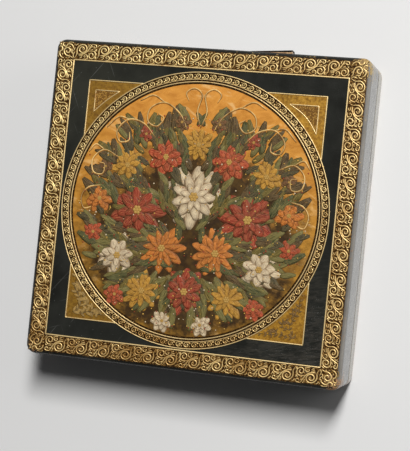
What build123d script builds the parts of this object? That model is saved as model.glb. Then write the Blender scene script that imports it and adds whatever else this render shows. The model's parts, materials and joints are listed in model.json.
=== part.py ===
from build123d import *
import math
import os

os.makedirs("parts", exist_ok=True)

# Closed box, in millimetres
box_width = 200.0
box_depth = 198.0
box_height = 45.0
seam_height = 15.0
seam_gap = 0.3
plan_corner_radius = 6.0
lid_edge_radius = 3.4

# Sheet and board thicknesses
leather = 0.8
bottom_cover = 0.6
bottom_board = 4.0
top_board = 4.6
wall = 7.0
back_wall = 9.0
side_leather_lift = 0.15

# Back edges: the hinge axis sits this far inside the back face, and behind it both edges slope away,
# so that they meet and stop the lid just past its full opening
axis_inset = 2.8
lid_opening_angle = 95.0
stop_spare_angle = 2.0

# Hinges
hinge_spacing = 120.0
leaf_length = 24.0
leaf_thickness = 1.2
leaf_inner_margin = 0.4
knuckle_radius = 2.0
knuckle_count = 5
knuckle_end_gap = 0.1
barrel_clearance = 0.3
knuckle_clearance = 0.15
pin_radius = 0.9
pin_running_clearance = 0.05
mortise_clearance = 0.1

# Wood screws in the hinge leaves
screw_pitch = 16.0
screw_length = 5.0
screw_shank_radius = 0.7
screw_head_radius = 1.4
screw_head_depth = 0.8
screw_clearance = 0.04

# Locating lip round the inside of the base
lip_thickness = 2.0
lip_rise = 4.0
lip_relief = 0.5
lip_edge_radius = 0.6

# Linings and pads
lid_lining = 1.0
lining_clearance = 0.6
pad_height = 2.4
pad_crown_radius = 1.8
pad_clearance = 0.3

# Raised lines on the lid, drawn from its edges and from the middle of the ring
line_height = 0.7
frame_line_inset_x = 12.9
frame_line_inset_y = 12.9
frame_line_width = 1.1
ring_outer_radius = 84.9
ring_line_width = 1.0
ring_band_width = 6.5
ring_offset_x = -0.9
ring_offset_y = -0.6
panel_inset = 11.9
panel_line_width = 0.8

# Strip of leather that has peeled off the back of the lid
strip_start_x = 20.0
strip_length = 30.0
strip_proud = 3.0
strip_height = 9.0
strip_top_drop = 3.6

# Worked out from the sizes above
bevel_angle = (lid_opening_angle + stop_spare_angle) / 2
half_width = box_width / 2
half_depth = box_depth / 2
base_rim = seam_height - seam_gap / 2
lid_rim = seam_height + seam_gap / 2
lid_ground = box_height - line_height
lid_wood_top = lid_ground - leather
ceiling = lid_wood_top - top_board
floor = bottom_cover + bottom_board
lip_top = base_rim + lip_rise
axis_y = half_depth - axis_inset
inner_left_right = half_width - leather - wall
inner_front = -(half_depth - leather - wall)
inner_back = half_depth - leather - back_wall
inner_mid_y = (inner_front + inner_back) / 2
inner_width = 2 * inner_left_right
inner_depth = inner_back - inner_front
leaf_width = axis_y - inner_back - leaf_inner_margin
hinge_centres = {"left": -hinge_spacing / 2, "right": hinge_spacing / 2}
whole_box_shift = Pos(0, -strip_proud / 2, 0)


def rounded_block(width, depth, radius, low, high):
    """Upright block with rounded plan corners, centred on the box."""
    return extrude(Pos(0, 0, low) * RectangleRounded(width, depth, radius), high - low)


def inner_block(margin, low, high):
    """Upright block that fills the space inside the walls, less a margin on every side."""
    outline = Rectangle(inner_width - 2 * margin, inner_depth - 2 * margin)
    return extrude(Pos(0, inner_mid_y, low) * outline, high - low)


def bevel_waste(skin, direction):
    """Everything past the sloped back edge. Direction is 1 over the base and -1 under the lid."""
    slope = math.radians(bevel_angle)
    near = -back_wall
    far = 3 * axis_inset
    reach = 3 * box_height
    drop = skin / math.cos(slope)

    def edge_height(offset):
        return seam_height - direction * (drop + offset * math.tan(slope))

    corners = [
        (axis_y + near, edge_height(near)),
        (axis_y + far, edge_height(far)),
        (axis_y + far, seam_height + direction * reach),
        (axis_y + near, seam_height + direction * reach),
    ]
    outline = make_face(Polyline(*corners, close=True))
    return extrude(Plane.YZ * outline, box_width, both=True)


def top_edges(block):
    """Edges round the highest face of a block."""
    return block.faces().sort_by(Axis.Z)[-1].edges()


def x_cylinder(radius, centre_x, length):
    """Cylinder along the hinge axis."""
    return Pos(centre_x, axis_y, seam_height) * Rot(0, 90, 0) * Cylinder(radius, length)


def hinge_recess(direction):
    """Room for both hinges in one rim: a barrel groove and a mortise for the leaf."""
    depth = seam_gap / 2 + leaf_thickness
    middle_y = axis_y - leaf_width / 2
    waste = []
    for centre_x in hinge_centres.values():
        waste.append(x_cylinder(knuckle_radius + barrel_clearance, centre_x, leaf_length + 2 * barrel_clearance))
        mortise = Box(leaf_length + 2 * mortise_clearance, leaf_width + 2 * mortise_clearance, depth)
        waste.append(Pos(centre_x, middle_y, seam_height - direction * depth / 2) * mortise)
    return waste


def screw_places():
    """Plan positions of every screw in one rim."""
    offsets = (-screw_pitch / 2, screw_pitch / 2)
    places = []
    for centre_x in hinge_centres.values():
        for offset in offsets:
            places.append((centre_x + offset, axis_y - (leaf_width + knuckle_radius) / 2))
    return places


def screw_form(growth):
    """One countersunk screw, head at the origin and point down, grown all round for a hole."""
    shank = Cylinder(screw_shank_radius + growth, screw_length, align=(Align.CENTER, Align.CENTER, Align.MAX))
    head = Cone(
        screw_shank_radius + growth,
        screw_head_radius + growth,
        screw_head_depth,
        align=(Align.CENTER, Align.CENTER, Align.MAX),
    )
    return shank + head


def placed_screws(direction, growth):
    """Every screw in one rim, pointing into the wood."""
    leaf_face = seam_height - direction * seam_gap / 2
    turn = Rot(0, 0, 0) if direction == 1 else Rot(180, 0, 0)
    return [Pos(x, y, leaf_face) * turn * screw_form(growth) for x, y in screw_places()]


def mitred(ring, names, outer_half_width, outer_front, outer_back, inset):
    """Cuts a rectangular ring into four lengths along its corner mitres."""
    inner_corners = {}
    for side_name, x_sign in (("left", -1), ("right", 1)):
        for end_name, outer_y, inner_y in (("front", outer_front, inset[1]), ("back", outer_back, inset[2])):
            inner_corners[side_name, end_name] = (
                Vector(x_sign * inset[0], inner_y),
                Vector(x_sign * outer_half_width, outer_y),
            )

    def far_corner(key):
        near, corner = inner_corners[key]
        return near + (corner - near) * 3

    runs = {
        "front": (("left", "front"), ("right", "front")),
        "right": (("right", "front"), ("right", "back")),
        "back": (("right", "back"), ("left", "back")),
        "left": (("left", "back"), ("left", "front")),
    }
    pieces = {}
    for side, (start, end) in runs.items():
        outline = [inner_corners[start][0], far_corner(start), far_corner(end), inner_corners[end][0]]
        wedge = extrude(make_face(Polyline(*outline, close=True)), 2 * box_height)
        pieces[names.format(side)] = ring & wedge
    return pieces


def wall_ring(low, high, direction):
    """The four walls of the base or lid as one ring, with its sloped back edge and hinge recesses."""
    wood = rounded_block(box_width - 2 * leather, box_depth - 2 * leather, plan_corner_radius - leather, low, high)
    ring = wood - inner_block(0, low, high) - bevel_waste(leather, direction)
    ring -= hinge_recess(direction)
    return ring - placed_screws(direction, screw_clearance)


def walls(low, high, direction, names):
    """Four mitred wooden walls."""
    return mitred(
        wall_ring(low, high, direction),
        names,
        half_width - leather,
        -(half_depth - leather),
        half_depth - leather,
        (inner_left_right, inner_front, inner_back),
    )


def base_leather():
    """Leather round the base, turned over the rim as far as the inside of the walls."""
    skin = rounded_block(box_width, box_depth, plan_corner_radius, side_leather_lift, base_rim)
    skin -= bevel_waste(0, 1)
    core = rounded_block(
        box_width - 2 * leather, box_depth - 2 * leather, plan_corner_radius - leather, 0, base_rim - leather
    )
    core -= bevel_waste(leather, 1)
    skin = skin - core - inner_block(0, 0, base_rim)
    return skin - hinge_recess(1)


def lid_shell(skin, low, top):
    """Outside form of the lid at a given depth under the leather's surface."""
    block = rounded_block(
        box_width - 2 * skin, box_depth - 2 * skin, plan_corner_radius - skin, low, top
    )
    block = fillet(top_edges(block), lid_edge_radius - skin)
    return block - bevel_waste(skin, -1)


def raised(outline):
    """A flat shape on the lid raised to the full height of the tooling, rooted in the leather."""
    root_height = lid_ground - leather / 4
    return extrude(Pos(0, 0, root_height) * outline, box_height - root_height)


def rectangular_line(inset_x, inset_y, width):
    """Raised line parallel to the lid's edges."""
    outer = Rectangle(box_width - 2 * inset_x + width, box_depth - 2 * inset_y + width)
    inner = Rectangle(box_width - 2 * inset_x - width, box_depth - 2 * inset_y - width)
    return raised(outer - inner)


def circular_line(radius):
    """Raised line round the middle of the ring, given its outer radius."""
    return raised(Pos(ring_offset_x, ring_offset_y) * (Circle(radius) - Circle(radius - ring_line_width)))


def corner_panels():
    """Raised borders of the four panels between the square frame and the ring."""
    inset_x = frame_line_inset_x + panel_inset
    inset_y = frame_line_inset_y + panel_inset
    ring = Pos(ring_offset_x, ring_offset_y) * Circle(ring_outer_radius - ring_line_width / 2)
    outer = Rectangle(box_width - 2 * inset_x, box_depth - 2 * inset_y) - ring
    inner = Rectangle(
        box_width - 2 * inset_x - 2 * panel_line_width, box_depth - 2 * inset_y - 2 * panel_line_width
    )
    inner -= Pos(ring_offset_x, ring_offset_y) * Circle(ring_outer_radius + panel_line_width)
    return raised(outer - inner)


def lid_leather():
    """Leather over the lid with rolled edges, turned over the rim, and its raised lines."""
    skin = lid_shell(0, lid_rim, lid_ground)
    core = lid_shell(leather, lid_rim + leather, lid_wood_top)
    skin = skin - core - inner_block(0, lid_rim, lid_rim + leather)
    skin -= hinge_recess(-1)
    skin += rectangular_line(frame_line_inset_x, frame_line_inset_y, frame_line_width)
    skin += circular_line(ring_outer_radius)
    skin += circular_line(ring_outer_radius - ring_band_width + ring_line_width)
    return skin + corner_panels()


def lid_board():
    """Wooden top of the lid, its edge rounded under the leather."""
    board = rounded_block(
        box_width - 2 * leather, box_depth - 2 * leather, plan_corner_radius - leather, ceiling, lid_wood_top
    )
    return fillet(top_edges(board), lid_edge_radius - leather)


def base_board():
    """Wooden bottom that the base walls stand on."""
    return rounded_block(
        box_width - 2 * leather, box_depth - 2 * leather, plan_corner_radius - leather, bottom_cover, floor
    )


def base_cover():
    """Leather sheet glued under the bottom, which the box rests on."""
    return rounded_block(box_width - 2 * leather, box_depth - 2 * leather, plan_corner_radius - leather, 0, bottom_cover)


def lips():
    """Four lining strips that stand above the base's rim and locate the lid."""
    lower = inner_block(0, floor, base_rim)
    upper = inner_block(lip_relief, base_rim, lip_top)
    ring = lower + upper - inner_block(lip_thickness, floor, lip_top)
    ring = fillet(top_edges(ring), lip_edge_radius)
    inside = (inner_left_right - lip_thickness, inner_front + lip_thickness, inner_back - lip_thickness)
    return mitred(ring, "base_{}_lip", inner_left_right, inner_front, inner_back, inside)


def lid_linings():
    """Four covered cards on the inside of the lid's walls, clear of the lip when the lid is down."""
    low = lip_top + lining_clearance
    ring = inner_block(0, low, ceiling) - inner_block(lid_lining, low, ceiling)
    inside = (inner_left_right - lid_lining, inner_front + lid_lining, inner_back - lid_lining)
    return mitred(ring, "lid_{}_lining", inner_left_right, inner_front, inner_back, inside)


def floor_pad():
    """Thin cushion on the floor of the base, with a crowned top."""
    pad = inner_block(lip_thickness + pad_clearance, floor, floor + pad_height)
    return fillet(top_edges(pad), pad_crown_radius)


def ceiling_pad():
    """Thin cushion under the top of the lid, crowned on its lower side."""
    pad = inner_block(lid_lining + pad_clearance, ceiling - pad_height, ceiling)
    return fillet(pad.faces().sort_by(Axis.Z)[0].edges(), pad_crown_radius)


def knuckle_spans(owner):
    """Middle offsets of the knuckles on one leaf: the base leaf has the odd ones, the lid leaf the even."""
    pitch = leaf_length / knuckle_count
    first = 0 if owner == "base" else 1
    return [(index + 0.5) * pitch - leaf_length / 2 for index in range(first, knuckle_count, 2)]


def hinge_leaf(centre_x, owner):
    """One leaf of a butt hinge with its own knuckles, notched round the other leaf's."""
    direction = 1 if owner == "base" else -1
    other = "lid" if owner == "base" else "base"
    pitch = leaf_length / knuckle_count
    bore = pin_radius if owner == "base" else pin_radius + pin_running_clearance
    plate = Box(leaf_length, leaf_width, leaf_thickness)
    plate_height = seam_height - direction * (seam_gap + leaf_thickness) / 2
    leaf = Pos(centre_x, axis_y - leaf_width / 2, plate_height) * plate
    for offset in knuckle_spans(other):
        leaf -= x_cylinder(knuckle_radius + knuckle_clearance, centre_x + offset, pitch + knuckle_end_gap)
    for offset in knuckle_spans(owner):
        leaf += x_cylinder(knuckle_radius, centre_x + offset, pitch - knuckle_end_gap)
    leaf -= x_cylinder(bore, centre_x, 2 * leaf_length)
    return leaf - placed_screws(direction, screw_clearance)


def hinge_pin(centre_x):
    """Brass pin held by the base leaf's knuckles."""
    return x_cylinder(pin_radius, centre_x, leaf_length)


def peeled_strip():
    """Loose tongue of leather on the back of the lid, thickening to a squared torn end."""
    end_x = strip_start_x + strip_length
    root = (strip_start_x, half_depth)
    foot = (end_x, half_depth)
    tip = (end_x, half_depth + strip_proud)
    outline = Line(root, foot) + Line(foot, tip) + TangentArc(root, tip, tangent=(1, 0))
    top = lid_ground - strip_top_drop
    return extrude(Pos(0, 0, top - strip_height) * make_face(outline), strip_height)


def all_nodes():
    """Every node by name."""
    nodes = {
        "base_bottom_board": base_board(),
        "base_bottom_leather": base_cover(),
        "base_side_leather": base_leather(),
        "base_floor_pad": floor_pad(),
        "base_hinge_screws": Compound(placed_screws(1, 0)),
        "lid_top_board": lid_board(),
        "lid_leather_cover": lid_leather(),
        "lid_ceiling_pad": ceiling_pad(),
        "lid_hinge_screws": Compound(placed_screws(-1, 0)),
        "lid_peeled_strip": peeled_strip(),
    }
    nodes.update(walls(floor, base_rim - leather, 1, "base_{}_wall"))
    nodes.update(lips())
    nodes.update(walls(lid_rim + leather, ceiling, -1, "lid_{}_wall"))
    nodes.update(lid_linings())
    for side, centre_x in hinge_centres.items():
        nodes[side + "_hinge_base_leaf"] = hinge_leaf(centre_x, "base")
        nodes[side + "_hinge_lid_leaf"] = hinge_leaf(centre_x, "lid")
        nodes[side + "_hinge_pin"] = hinge_pin(centre_x)
    return nodes


for name, solid in all_nodes().items():
    export_step(whole_box_shift * solid, "parts/" + name + ".step")
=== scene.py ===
import json
import math
import random

import bmesh
import bpy
from mathutils import Matrix, Vector, noise


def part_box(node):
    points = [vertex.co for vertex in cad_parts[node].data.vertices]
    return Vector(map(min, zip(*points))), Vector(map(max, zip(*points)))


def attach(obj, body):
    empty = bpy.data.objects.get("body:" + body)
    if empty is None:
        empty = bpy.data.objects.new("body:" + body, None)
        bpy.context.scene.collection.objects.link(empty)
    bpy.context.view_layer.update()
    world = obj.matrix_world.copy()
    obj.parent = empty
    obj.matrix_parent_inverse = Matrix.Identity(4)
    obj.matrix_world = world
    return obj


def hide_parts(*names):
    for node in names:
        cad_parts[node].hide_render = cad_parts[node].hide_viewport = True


bl_info = {
    "name": "Gilt Leather Box",
    "version": (1, 0, 0),
    "blender": (4, 5, 0),
    "location": "View3D > Sidebar > Leather Box",
    "description": "Dresses a hinged wooden box in gilt-tooled and painted leather",
    "category": "Object",
}

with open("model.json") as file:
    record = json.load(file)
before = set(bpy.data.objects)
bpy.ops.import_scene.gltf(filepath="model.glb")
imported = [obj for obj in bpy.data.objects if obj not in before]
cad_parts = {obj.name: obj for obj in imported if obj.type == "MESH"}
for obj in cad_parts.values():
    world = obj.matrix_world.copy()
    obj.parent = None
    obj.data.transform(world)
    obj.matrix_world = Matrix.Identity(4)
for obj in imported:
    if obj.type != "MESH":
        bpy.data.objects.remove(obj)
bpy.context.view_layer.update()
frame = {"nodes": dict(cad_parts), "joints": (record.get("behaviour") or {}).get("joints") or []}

MM = 0.001

# Places read from the frame
cover_low, cover_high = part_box("lid_leather_cover")
hinge_point = Vector(frame["joints"][0]["pos_m"])
axis_y = hinge_point.y
seam_z = hinge_point.z
centre_y = (cover_low.y + cover_high.y) / 2
half_x = (cover_high.x - cover_low.x) / 2
half_y = (cover_high.y - cover_low.y) / 2
top_z = cover_high.z

# Real sizes repeated from the construction
RELIEF = 0.7 * MM
LEATHER = 0.8 * MM
SEAM_GAP = 0.3 * MM
SIDE_LIFT = 0.15 * MM
WALL = 7.0 * MM
BACK_WALL = 9.0 * MM
PLAN_RADIUS = 6.0 * MM
EDGE_RADIUS = 3.4 * MM
BEVEL_ANGLE = math.radians(48.5)
HINGE_CENTRES = (-60.0 * MM, 60.0 * MM)
FRAME_INSET = 12.9 * MM
PANEL_INSET = 24.8 * MM
RING_RADIUS = 84.4 * MM
PICTURE_RADIUS = 77.0 * MM

# Radius and length of the groove for a hinge barrel
BARREL_GROOVE = (2.3 * MM, 24.6 * MM)

# Width, depth and reach of the mortise for a hinge leaf
MORTISE = (24.2 * MM, 6.8 * MM, 1.35 * MM)

# Level of the leather under its ornament, the middle of the ring and the most that paint may reach
ground_z = top_z - RELIEF
ring_middle = Vector((-0.9 * MM, centre_y - 0.6 * MM, ground_z))
paint_top = top_z - 0.01 * MM

# Height of the oval that the painted spray fills, as a share of its width
OVAL = 0.84

# Points on one round of a leather skin
SIDE_STEPS = 64
CORNER_STEPS = 14


class LeatherSettings(bpy.types.PropertyGroup):
    colour: bpy.props.FloatVectorProperty(
        name="Leather", description="Colour of the polished dark leather",
        subtype="COLOR", size=3, default=(0.0145, 0.0148, 0.0125))
    worn: bpy.props.FloatVectorProperty(
        name="Worn leather", description="Colour where the finish is rubbed off",
        subtype="COLOR", size=3, default=(0.50, 0.28, 0.14))
    wobble: bpy.props.FloatProperty(
        name="Wobble", description="How far the hand-laid leather strays inwards",
        unit="LENGTH", default=0.14 * MM)


class GiltSettings(bpy.types.PropertyGroup):
    bright: bpy.props.FloatVectorProperty(
        name="Gold", description="Colour of sound gold leaf",
        subtype="COLOR", size=3, default=(0.93, 0.66, 0.27))
    rubbed: bpy.props.FloatVectorProperty(
        name="Rubbed gold", description="Colour of thin gold leaf over brown leather",
        subtype="COLOR", size=3, default=(0.46, 0.235, 0.05))
    scrolls: bpy.props.IntProperty(
        name="Scrolls per side", description="Repeats of the border scroll along one side",
        default=12, min=1)
    waves: bpy.props.IntProperty(
        name="Waves in the ring", description="Repeats of the running wave round the ring",
        default=104, min=3)
    beads: bpy.props.IntProperty(
        name="Beads", description="Beads in the line round the picture",
        default=330, min=3)


class PictureSettings(bpy.types.PropertyGroup):
    shade: bpy.props.FloatVectorProperty(
        name="Shade", description="Dark paint under the flowers",
        subtype="COLOR", size=3, default=(0.045, 0.024, 0.010))
    leaves: bpy.props.IntProperty(
        name="Leaves", description="Painted leaves tried for among the flowers",
        default=330, min=0)
    seed: bpy.props.IntProperty(
        name="Seed", description="Changes where the leaves fall", default=5)


class LiningSettings(bpy.types.PropertyGroup):
    silk: bpy.props.FloatVectorProperty(
        name="Silk", description="Colour of the silk inside",
        subtype="COLOR", size=3, default=(0.30, 0.035, 0.035))
    crown: bpy.props.FloatProperty(
        name="Crown", description="How much the middle of a pad stands over its edges",
        unit="LENGTH", default=0.8 * MM)


class StageSettings(bpy.types.PropertyGroup):
    floor: bpy.props.FloatVectorProperty(
        name="Floor", description="Colour of the pale floor",
        subtype="COLOR", size=3, default=(0.80, 0.795, 0.785))
    key: bpy.props.FloatProperty(
        name="Key light", description="Power of the large soft light behind the box",
        unit="POWER", default=56.0, min=0.0)
    sky: bpy.props.FloatProperty(
        name="Sky", description="Strength of the light from all round", default=0.045, min=0.0)


# Shader building

def put(tree, socket, value):
    """Links a socket or sets a value on it."""
    if isinstance(value, bpy.types.NodeSocket):
        tree.links.new(value, socket)
    elif socket.type == "RGBA":
        socket.default_value = (*value, 1.0)
    else:
        socket.default_value = value


def add_node(tree, kind, outlet, settings=None, **inputs):
    """Adds a node and returns one of its outlets. The input named i2 is the one at index 2."""
    node = tree.nodes.new(kind)
    for key, value in (settings or {}).items():
        setattr(node, key, value)
    for key, value in inputs.items():
        numbered = key[0] == "i" and key[1:].isdigit()
        put(tree, node.inputs[int(key[1:]) if numbered else key.replace("_", " ")], value)
    return node.outputs[outlet]


class Finish:
    """One material, with short calls for the nodes that its pattern needs."""

    def __init__(self, name, **constants):
        self.material = bpy.data.materials.new(name)
        self.material.use_nodes = True
        self.tree = self.material.node_tree
        self.tree.nodes.clear()
        output = self.tree.nodes.new("ShaderNodeOutputMaterial")
        self.surface = self.tree.nodes.new("ShaderNodeBsdfPrincipled")
        self.tree.links.new(self.surface.outputs[0], output.inputs["Surface"])
        self.place = self.tree.nodes.new("ShaderNodeTexCoord").outputs["Object"]
        for socket, value in constants.items():
            self.set(socket.replace("_", " "), value)

    def set(self, socket, value):
        """Links or sets an input of the surface."""
        put(self.tree, self.surface.inputs[socket], value)

    def colour(self, value):
        self.set("Base Color", value)

    def roughness(self, value):
        self.set("Roughness", value)

    def normal(self, value):
        self.set("Normal", value)

    def node(self, kind, outlet, settings=None, **inputs):
        return add_node(self.tree, kind, outlet, settings, **inputs)

    def noise(self, scale, detail=3.0, roughness=0.55, vector=None, distortion=0.0):
        """Cloudy pattern from 0 to 1, about 0.5 in the middle."""
        return self.node("ShaderNodeTexNoise", 0, Vector=vector or self.place, Scale=scale, Detail=detail,
                         Roughness=roughness, Distortion=distortion)

    def cells(self, scale):
        """Distance from the nearest point of a cell pattern."""
        return self.node("ShaderNodeTexVoronoi", "Distance", Vector=self.place, Scale=scale)

    def bands(self, direction, profile, scale, distortion, detail=2.0, vector=None):
        """Wavy bands across one axis."""
        return self.node("ShaderNodeTexWave", 0, {"bands_direction": direction, "wave_profile": profile},
                         Vector=vector or self.place, Scale=scale, Distortion=distortion, Detail=detail)

    def stretched(self, x, y, z, vector=None, turn=0.0):
        """The place scaled on each axis and turned about the upright one, for patterns that run one way."""
        if not turn:
            return self.node("ShaderNodeMapping", 0, Vector=vector or self.place, Scale=(x, y, z))
        return self.node("ShaderNodeMapping", 0, {"vector_type": "TEXTURE"}, Vector=vector or self.place,
                         Scale=(1 / x, 1 / y, 1 / z), Rotation=(0.0, 0.0, turn))

    def between(self, value, low, high, start=0.0, end=1.0):
        """The value spread from start to end between two limits, held at both ends."""
        limits = {"From_Min": low, "From_Max": high, "To_Min": start, "To_Max": end}
        return self.node("ShaderNodeMapRange", 0, Value=value, **limits)

    def maths(self, operation, first, *others):
        """Arithmetic on several values, from left to right."""
        result = first
        for other in others:
            result = self.node("ShaderNodeMath", 0, {"operation": operation}, i0=result, i1=other)
        return result

    def plus(self, *values):
        return self.maths("ADD", *values)

    def minus(self, first, second):
        return self.maths("SUBTRACT", first, second)

    def times(self, *values):
        return self.maths("MULTIPLY", *values)

    def most(self, *values):
        return self.maths("MAXIMUM", *values)

    def unsigned(self, value):
        return self.node("ShaderNodeMath", 0, {"operation": "ABSOLUTE"}, i0=value)

    def mix(self, factor, first, second, blend="MIX"):
        """Blend of two colours."""
        kind = {"data_type": "RGBA", "blend_type": blend}
        return self.node("ShaderNodeMix", 2, kind, i0=factor, i6=first, i7=second)

    def ramp(self, value, low, high, first, second):
        """First colour where the value is low, second where it is high, blended between the limits."""
        return self.mix(self.between(value, low, high), first, second)

    def axis(self, name):
        """One coordinate of the place."""
        return self.node("ShaderNodeSeparateXYZ", name, Vector=self.place)

    def distance(self, place, point):
        """How far a place is from a fixed point."""
        return self.node("ShaderNodeVectorMath", "Value", {"operation": "DISTANCE"}, i0=place, i1=point)

    def near(self, point, inner, outer):
        """1 near a point, falling to 0 further off."""
        return self.between(self.distance(self.place, point), inner, outer, 1.0, 0.0)

    def bump(self, height, depth, normal=None):
        """Relief of a depth in metres."""
        inputs = {"Height": height, "Distance": depth, "Strength": 1.0}
        if normal is not None:
            inputs["Normal"] = normal
        return self.node("ShaderNodeBump", 0, **inputs)


def tone(red, green, blue):
    """Linear colour from the usual 0 to 255 numbers."""
    values = []
    for part in (red, green, blue):
        share = part / 255
        values.append(share / 12.92 if share <= 0.04045 else ((share + 0.055) / 1.055) ** 2.4)
    return tuple(values)


def scaled(colour, share):
    """A colour made darker or lighter."""
    return tuple(share * part for part in colour)


# Where the finish is rubbed off: a place, the reach of full and of any wear in millimetres, the strength
WORN_TOP = (
    ((half_x, centre_y - half_y, 0.040), 3, 18, 1.0),
    ((half_x, centre_y + half_y, 0.042), 3, 20, 0.85),
    ((-half_x, centre_y - half_y, 0.042), 1, 12, 0.8),
    ((-half_x, centre_y + half_y, 0.042), 1, 12, 0.75),
)
WORN_SIDES = (
    ((half_x, centre_y - half_y, 0.038), 3, 19, 1.0),
    ((half_x, centre_y - half_y, 0.010), 2, 15, 0.85),
    ((half_x, centre_y + half_y, 0.038), 4, 24, 0.9),
    ((half_x, centre_y + half_y, 0.010), 2, 15, 0.8),
    ((-half_x, centre_y - half_y, 0.010), 2, 14, 0.8),
    ((-half_x, centre_y + half_y, 0.010), 2, 14, 0.8),
    ((-half_x, centre_y - half_y, 0.038), 2, 14, 0.8),
    ((-half_x, centre_y + half_y, 0.038), 2, 14, 0.8),
)


def worn_share(f, places):
    """How far the finish is rubbed off, ragged at every scale, strongest near each of the places."""
    shares = []
    for point, inner, outer, strength in places:
        shares.append(f.times(f.near(point, inner * MM, outer * MM), strength))
    wide = f.between(f.noise(170, 3.0, 0.6), 0.3, 0.7, 0.0, 0.34)
    fine = f.between(f.noise(760, 5.0, 0.75), 0.3, 0.7, 0.0, 0.46)
    return f.between(f.plus(f.times(f.most(*shares), 0.55), f.plus(wide, fine)), 0.72, 0.80)


def chips(f, rolled):
    """Small chips in the finish where the leather rolls over the edge."""
    return f.times(f.between(f.noise(330, 4.0, 0.72), 0.62, 0.68), rolled, 0.8)


def bare_leather(f, settings, pale):
    """Leather without its finish, paler towards the back."""
    backward = f.between(f.axis("Y"), centre_y, centre_y + 0.06)
    bare = f.mix(backward, settings.worn, pale)
    return f.ramp(f.noise(1500, 2.0), 0.4, 0.65, bare, scaled(settings.worn, 0.4))


def inset_from_sides(f):
    """How far the place lies inside the nearest side."""
    across = f.minus(f.unsigned(f.axis("X")), half_x)
    along = f.minus(f.unsigned(f.minus(f.axis("Y"), centre_y)), half_y)
    return f.times(f.most(across, along), -1.0)


def stained_bands(f, base, inset):
    """The border and the ring stained brown under their gilding."""
    height = f.axis("Z")
    border = f.times(f.between(inset, 2.0 * MM, 2.6 * MM), f.between(inset, 12.6 * MM, 12.9 * MM, 1, 0))
    border = f.times(border, f.between(height, ground_z - 1.8 * MM, ground_z - 1.0 * MM))
    radius = f.distance(f.stretched(1.0, 1.0, 0.0), (ring_middle.x, ring_middle.y, 0.0))
    ring = f.times(f.between(radius, 84.0 * MM, 84.5 * MM, 1, 0),
                   f.between(height, ground_z - 1.3 * MM, ground_z - 0.8 * MM))
    fleck = f.between(f.noise(900, 2.0), 0.48, 0.66)
    base = f.mix(f.most(border, ring), base, f.mix(fleck, (0.034, 0.014, 0.004), (0.27, 0.140, 0.034)))
    return f.mix(ring, base, f.mix(fleck, (0.018, 0.008, 0.002), (0.10, 0.048, 0.014)))


def scratches(f):
    """Fine scratches in three directions and small pricks, in two patches on the left."""
    marks = [f.between(f.cells(300), 0.07, 0.11, 1.0, 0.0)]
    for turn, low in ((-38, 0.665), (24, 0.69), (-70, 0.70)):
        scratch = f.noise(1.0, 2.0, 0.5, f.stretched(900, 26, 900, turn=math.radians(turn)))
        marks.append(f.between(scratch, low, low + 0.04))
    back = f.near((-0.068, 0.064, ground_z), 6 * MM, 34 * MM)
    front = f.near((-0.074, -0.078, ground_z), 4 * MM, 40 * MM)
    return f.times(f.most(*marks), f.most(back, f.times(front, 0.7)), 0.6)


def tooled_leather():
    """Polished dark leather, brown in the tooled bands, rubbed at the corners, scratched and creased, with
    painted sheen in a patch at the back left and along the right edge.
    """
    settings = bpy.context.scene.box_leather
    f = Finish("tooled_leather", IOR=1.22)
    cloud = f.noise(55, 4.0)
    inset = inset_from_sides(f)
    base = f.ramp(cloud, 0.35, 0.7, settings.colour, scaled(settings.colour, 1.75))
    crease = f.noise(1.0, 4.0, 0.65, f.stretched(150, 620, 400, turn=math.radians(12)), 0.8)
    tired = f.near((0.072, centre_y - 0.080, top_z), 12 * MM, 70 * MM)
    base = f.mix(f.times(f.between(crease, 0.42, 0.62), tired, 0.65), base, (0.060, 0.054, 0.044))
    # Painted sheen: a lighter patch of the top towards the back left
    painted_sheen_back_left = f.near((-0.074, 0.070, top_z), 14 * MM, 60 * MM)
    base = f.mix(f.times(painted_sheen_back_left, f.between(cloud, 0.3, 0.6, 0.4, 1.0)), base, (0.034, 0.034, 0.026))
    base = stained_bands(f, base, inset)
    # Painted sheen: the rolled edge along the right side greyed, standing for its reflection
    painted_sheen_right_edge = f.times(f.between(f.axis("X"), half_x - 3.0 * MM, half_x - 1.2 * MM),
                    f.between(inset, 2.6 * MM, 1.6 * MM),
                    f.between(f.noise(700, 4.0, 0.7), 0.25, 0.6, 0.45, 1.0))
    base = f.mix(painted_sheen_right_edge, base, (0.19, 0.165, 0.135))
    wear = f.most(worn_share(f, WORN_TOP), chips(f, f.between(inset, 2.2 * MM, 1.4 * MM)))
    base = f.mix(wear, base, bare_leather(f, settings, tone(196, 166, 106)))
    f.colour(f.mix(scratches(f), base, (0.16, 0.16, 0.15)))
    polish = f.between(f.noise(140, 4.0), 0.3, 0.7, 0.18, 0.28)
    f.roughness(f.mix(f.most(wear, painted_sheen_right_edge), polish, (0.7, 0.7, 0.7)))
    swell = f.bump(f.noise(38, 2.0), 0.9 * MM)
    wrinkled = f.bump(f.times(crease, f.between(tired, 0.0, 1.0, 0.15, 1.0)), 0.35 * MM, swell)
    grain = f.plus(f.cells(1500), f.times(f.noise(700, 3.0), 0.8))
    f.normal(f.bump(grain, 0.03 * MM, wrinkled))
    return f.material


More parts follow.
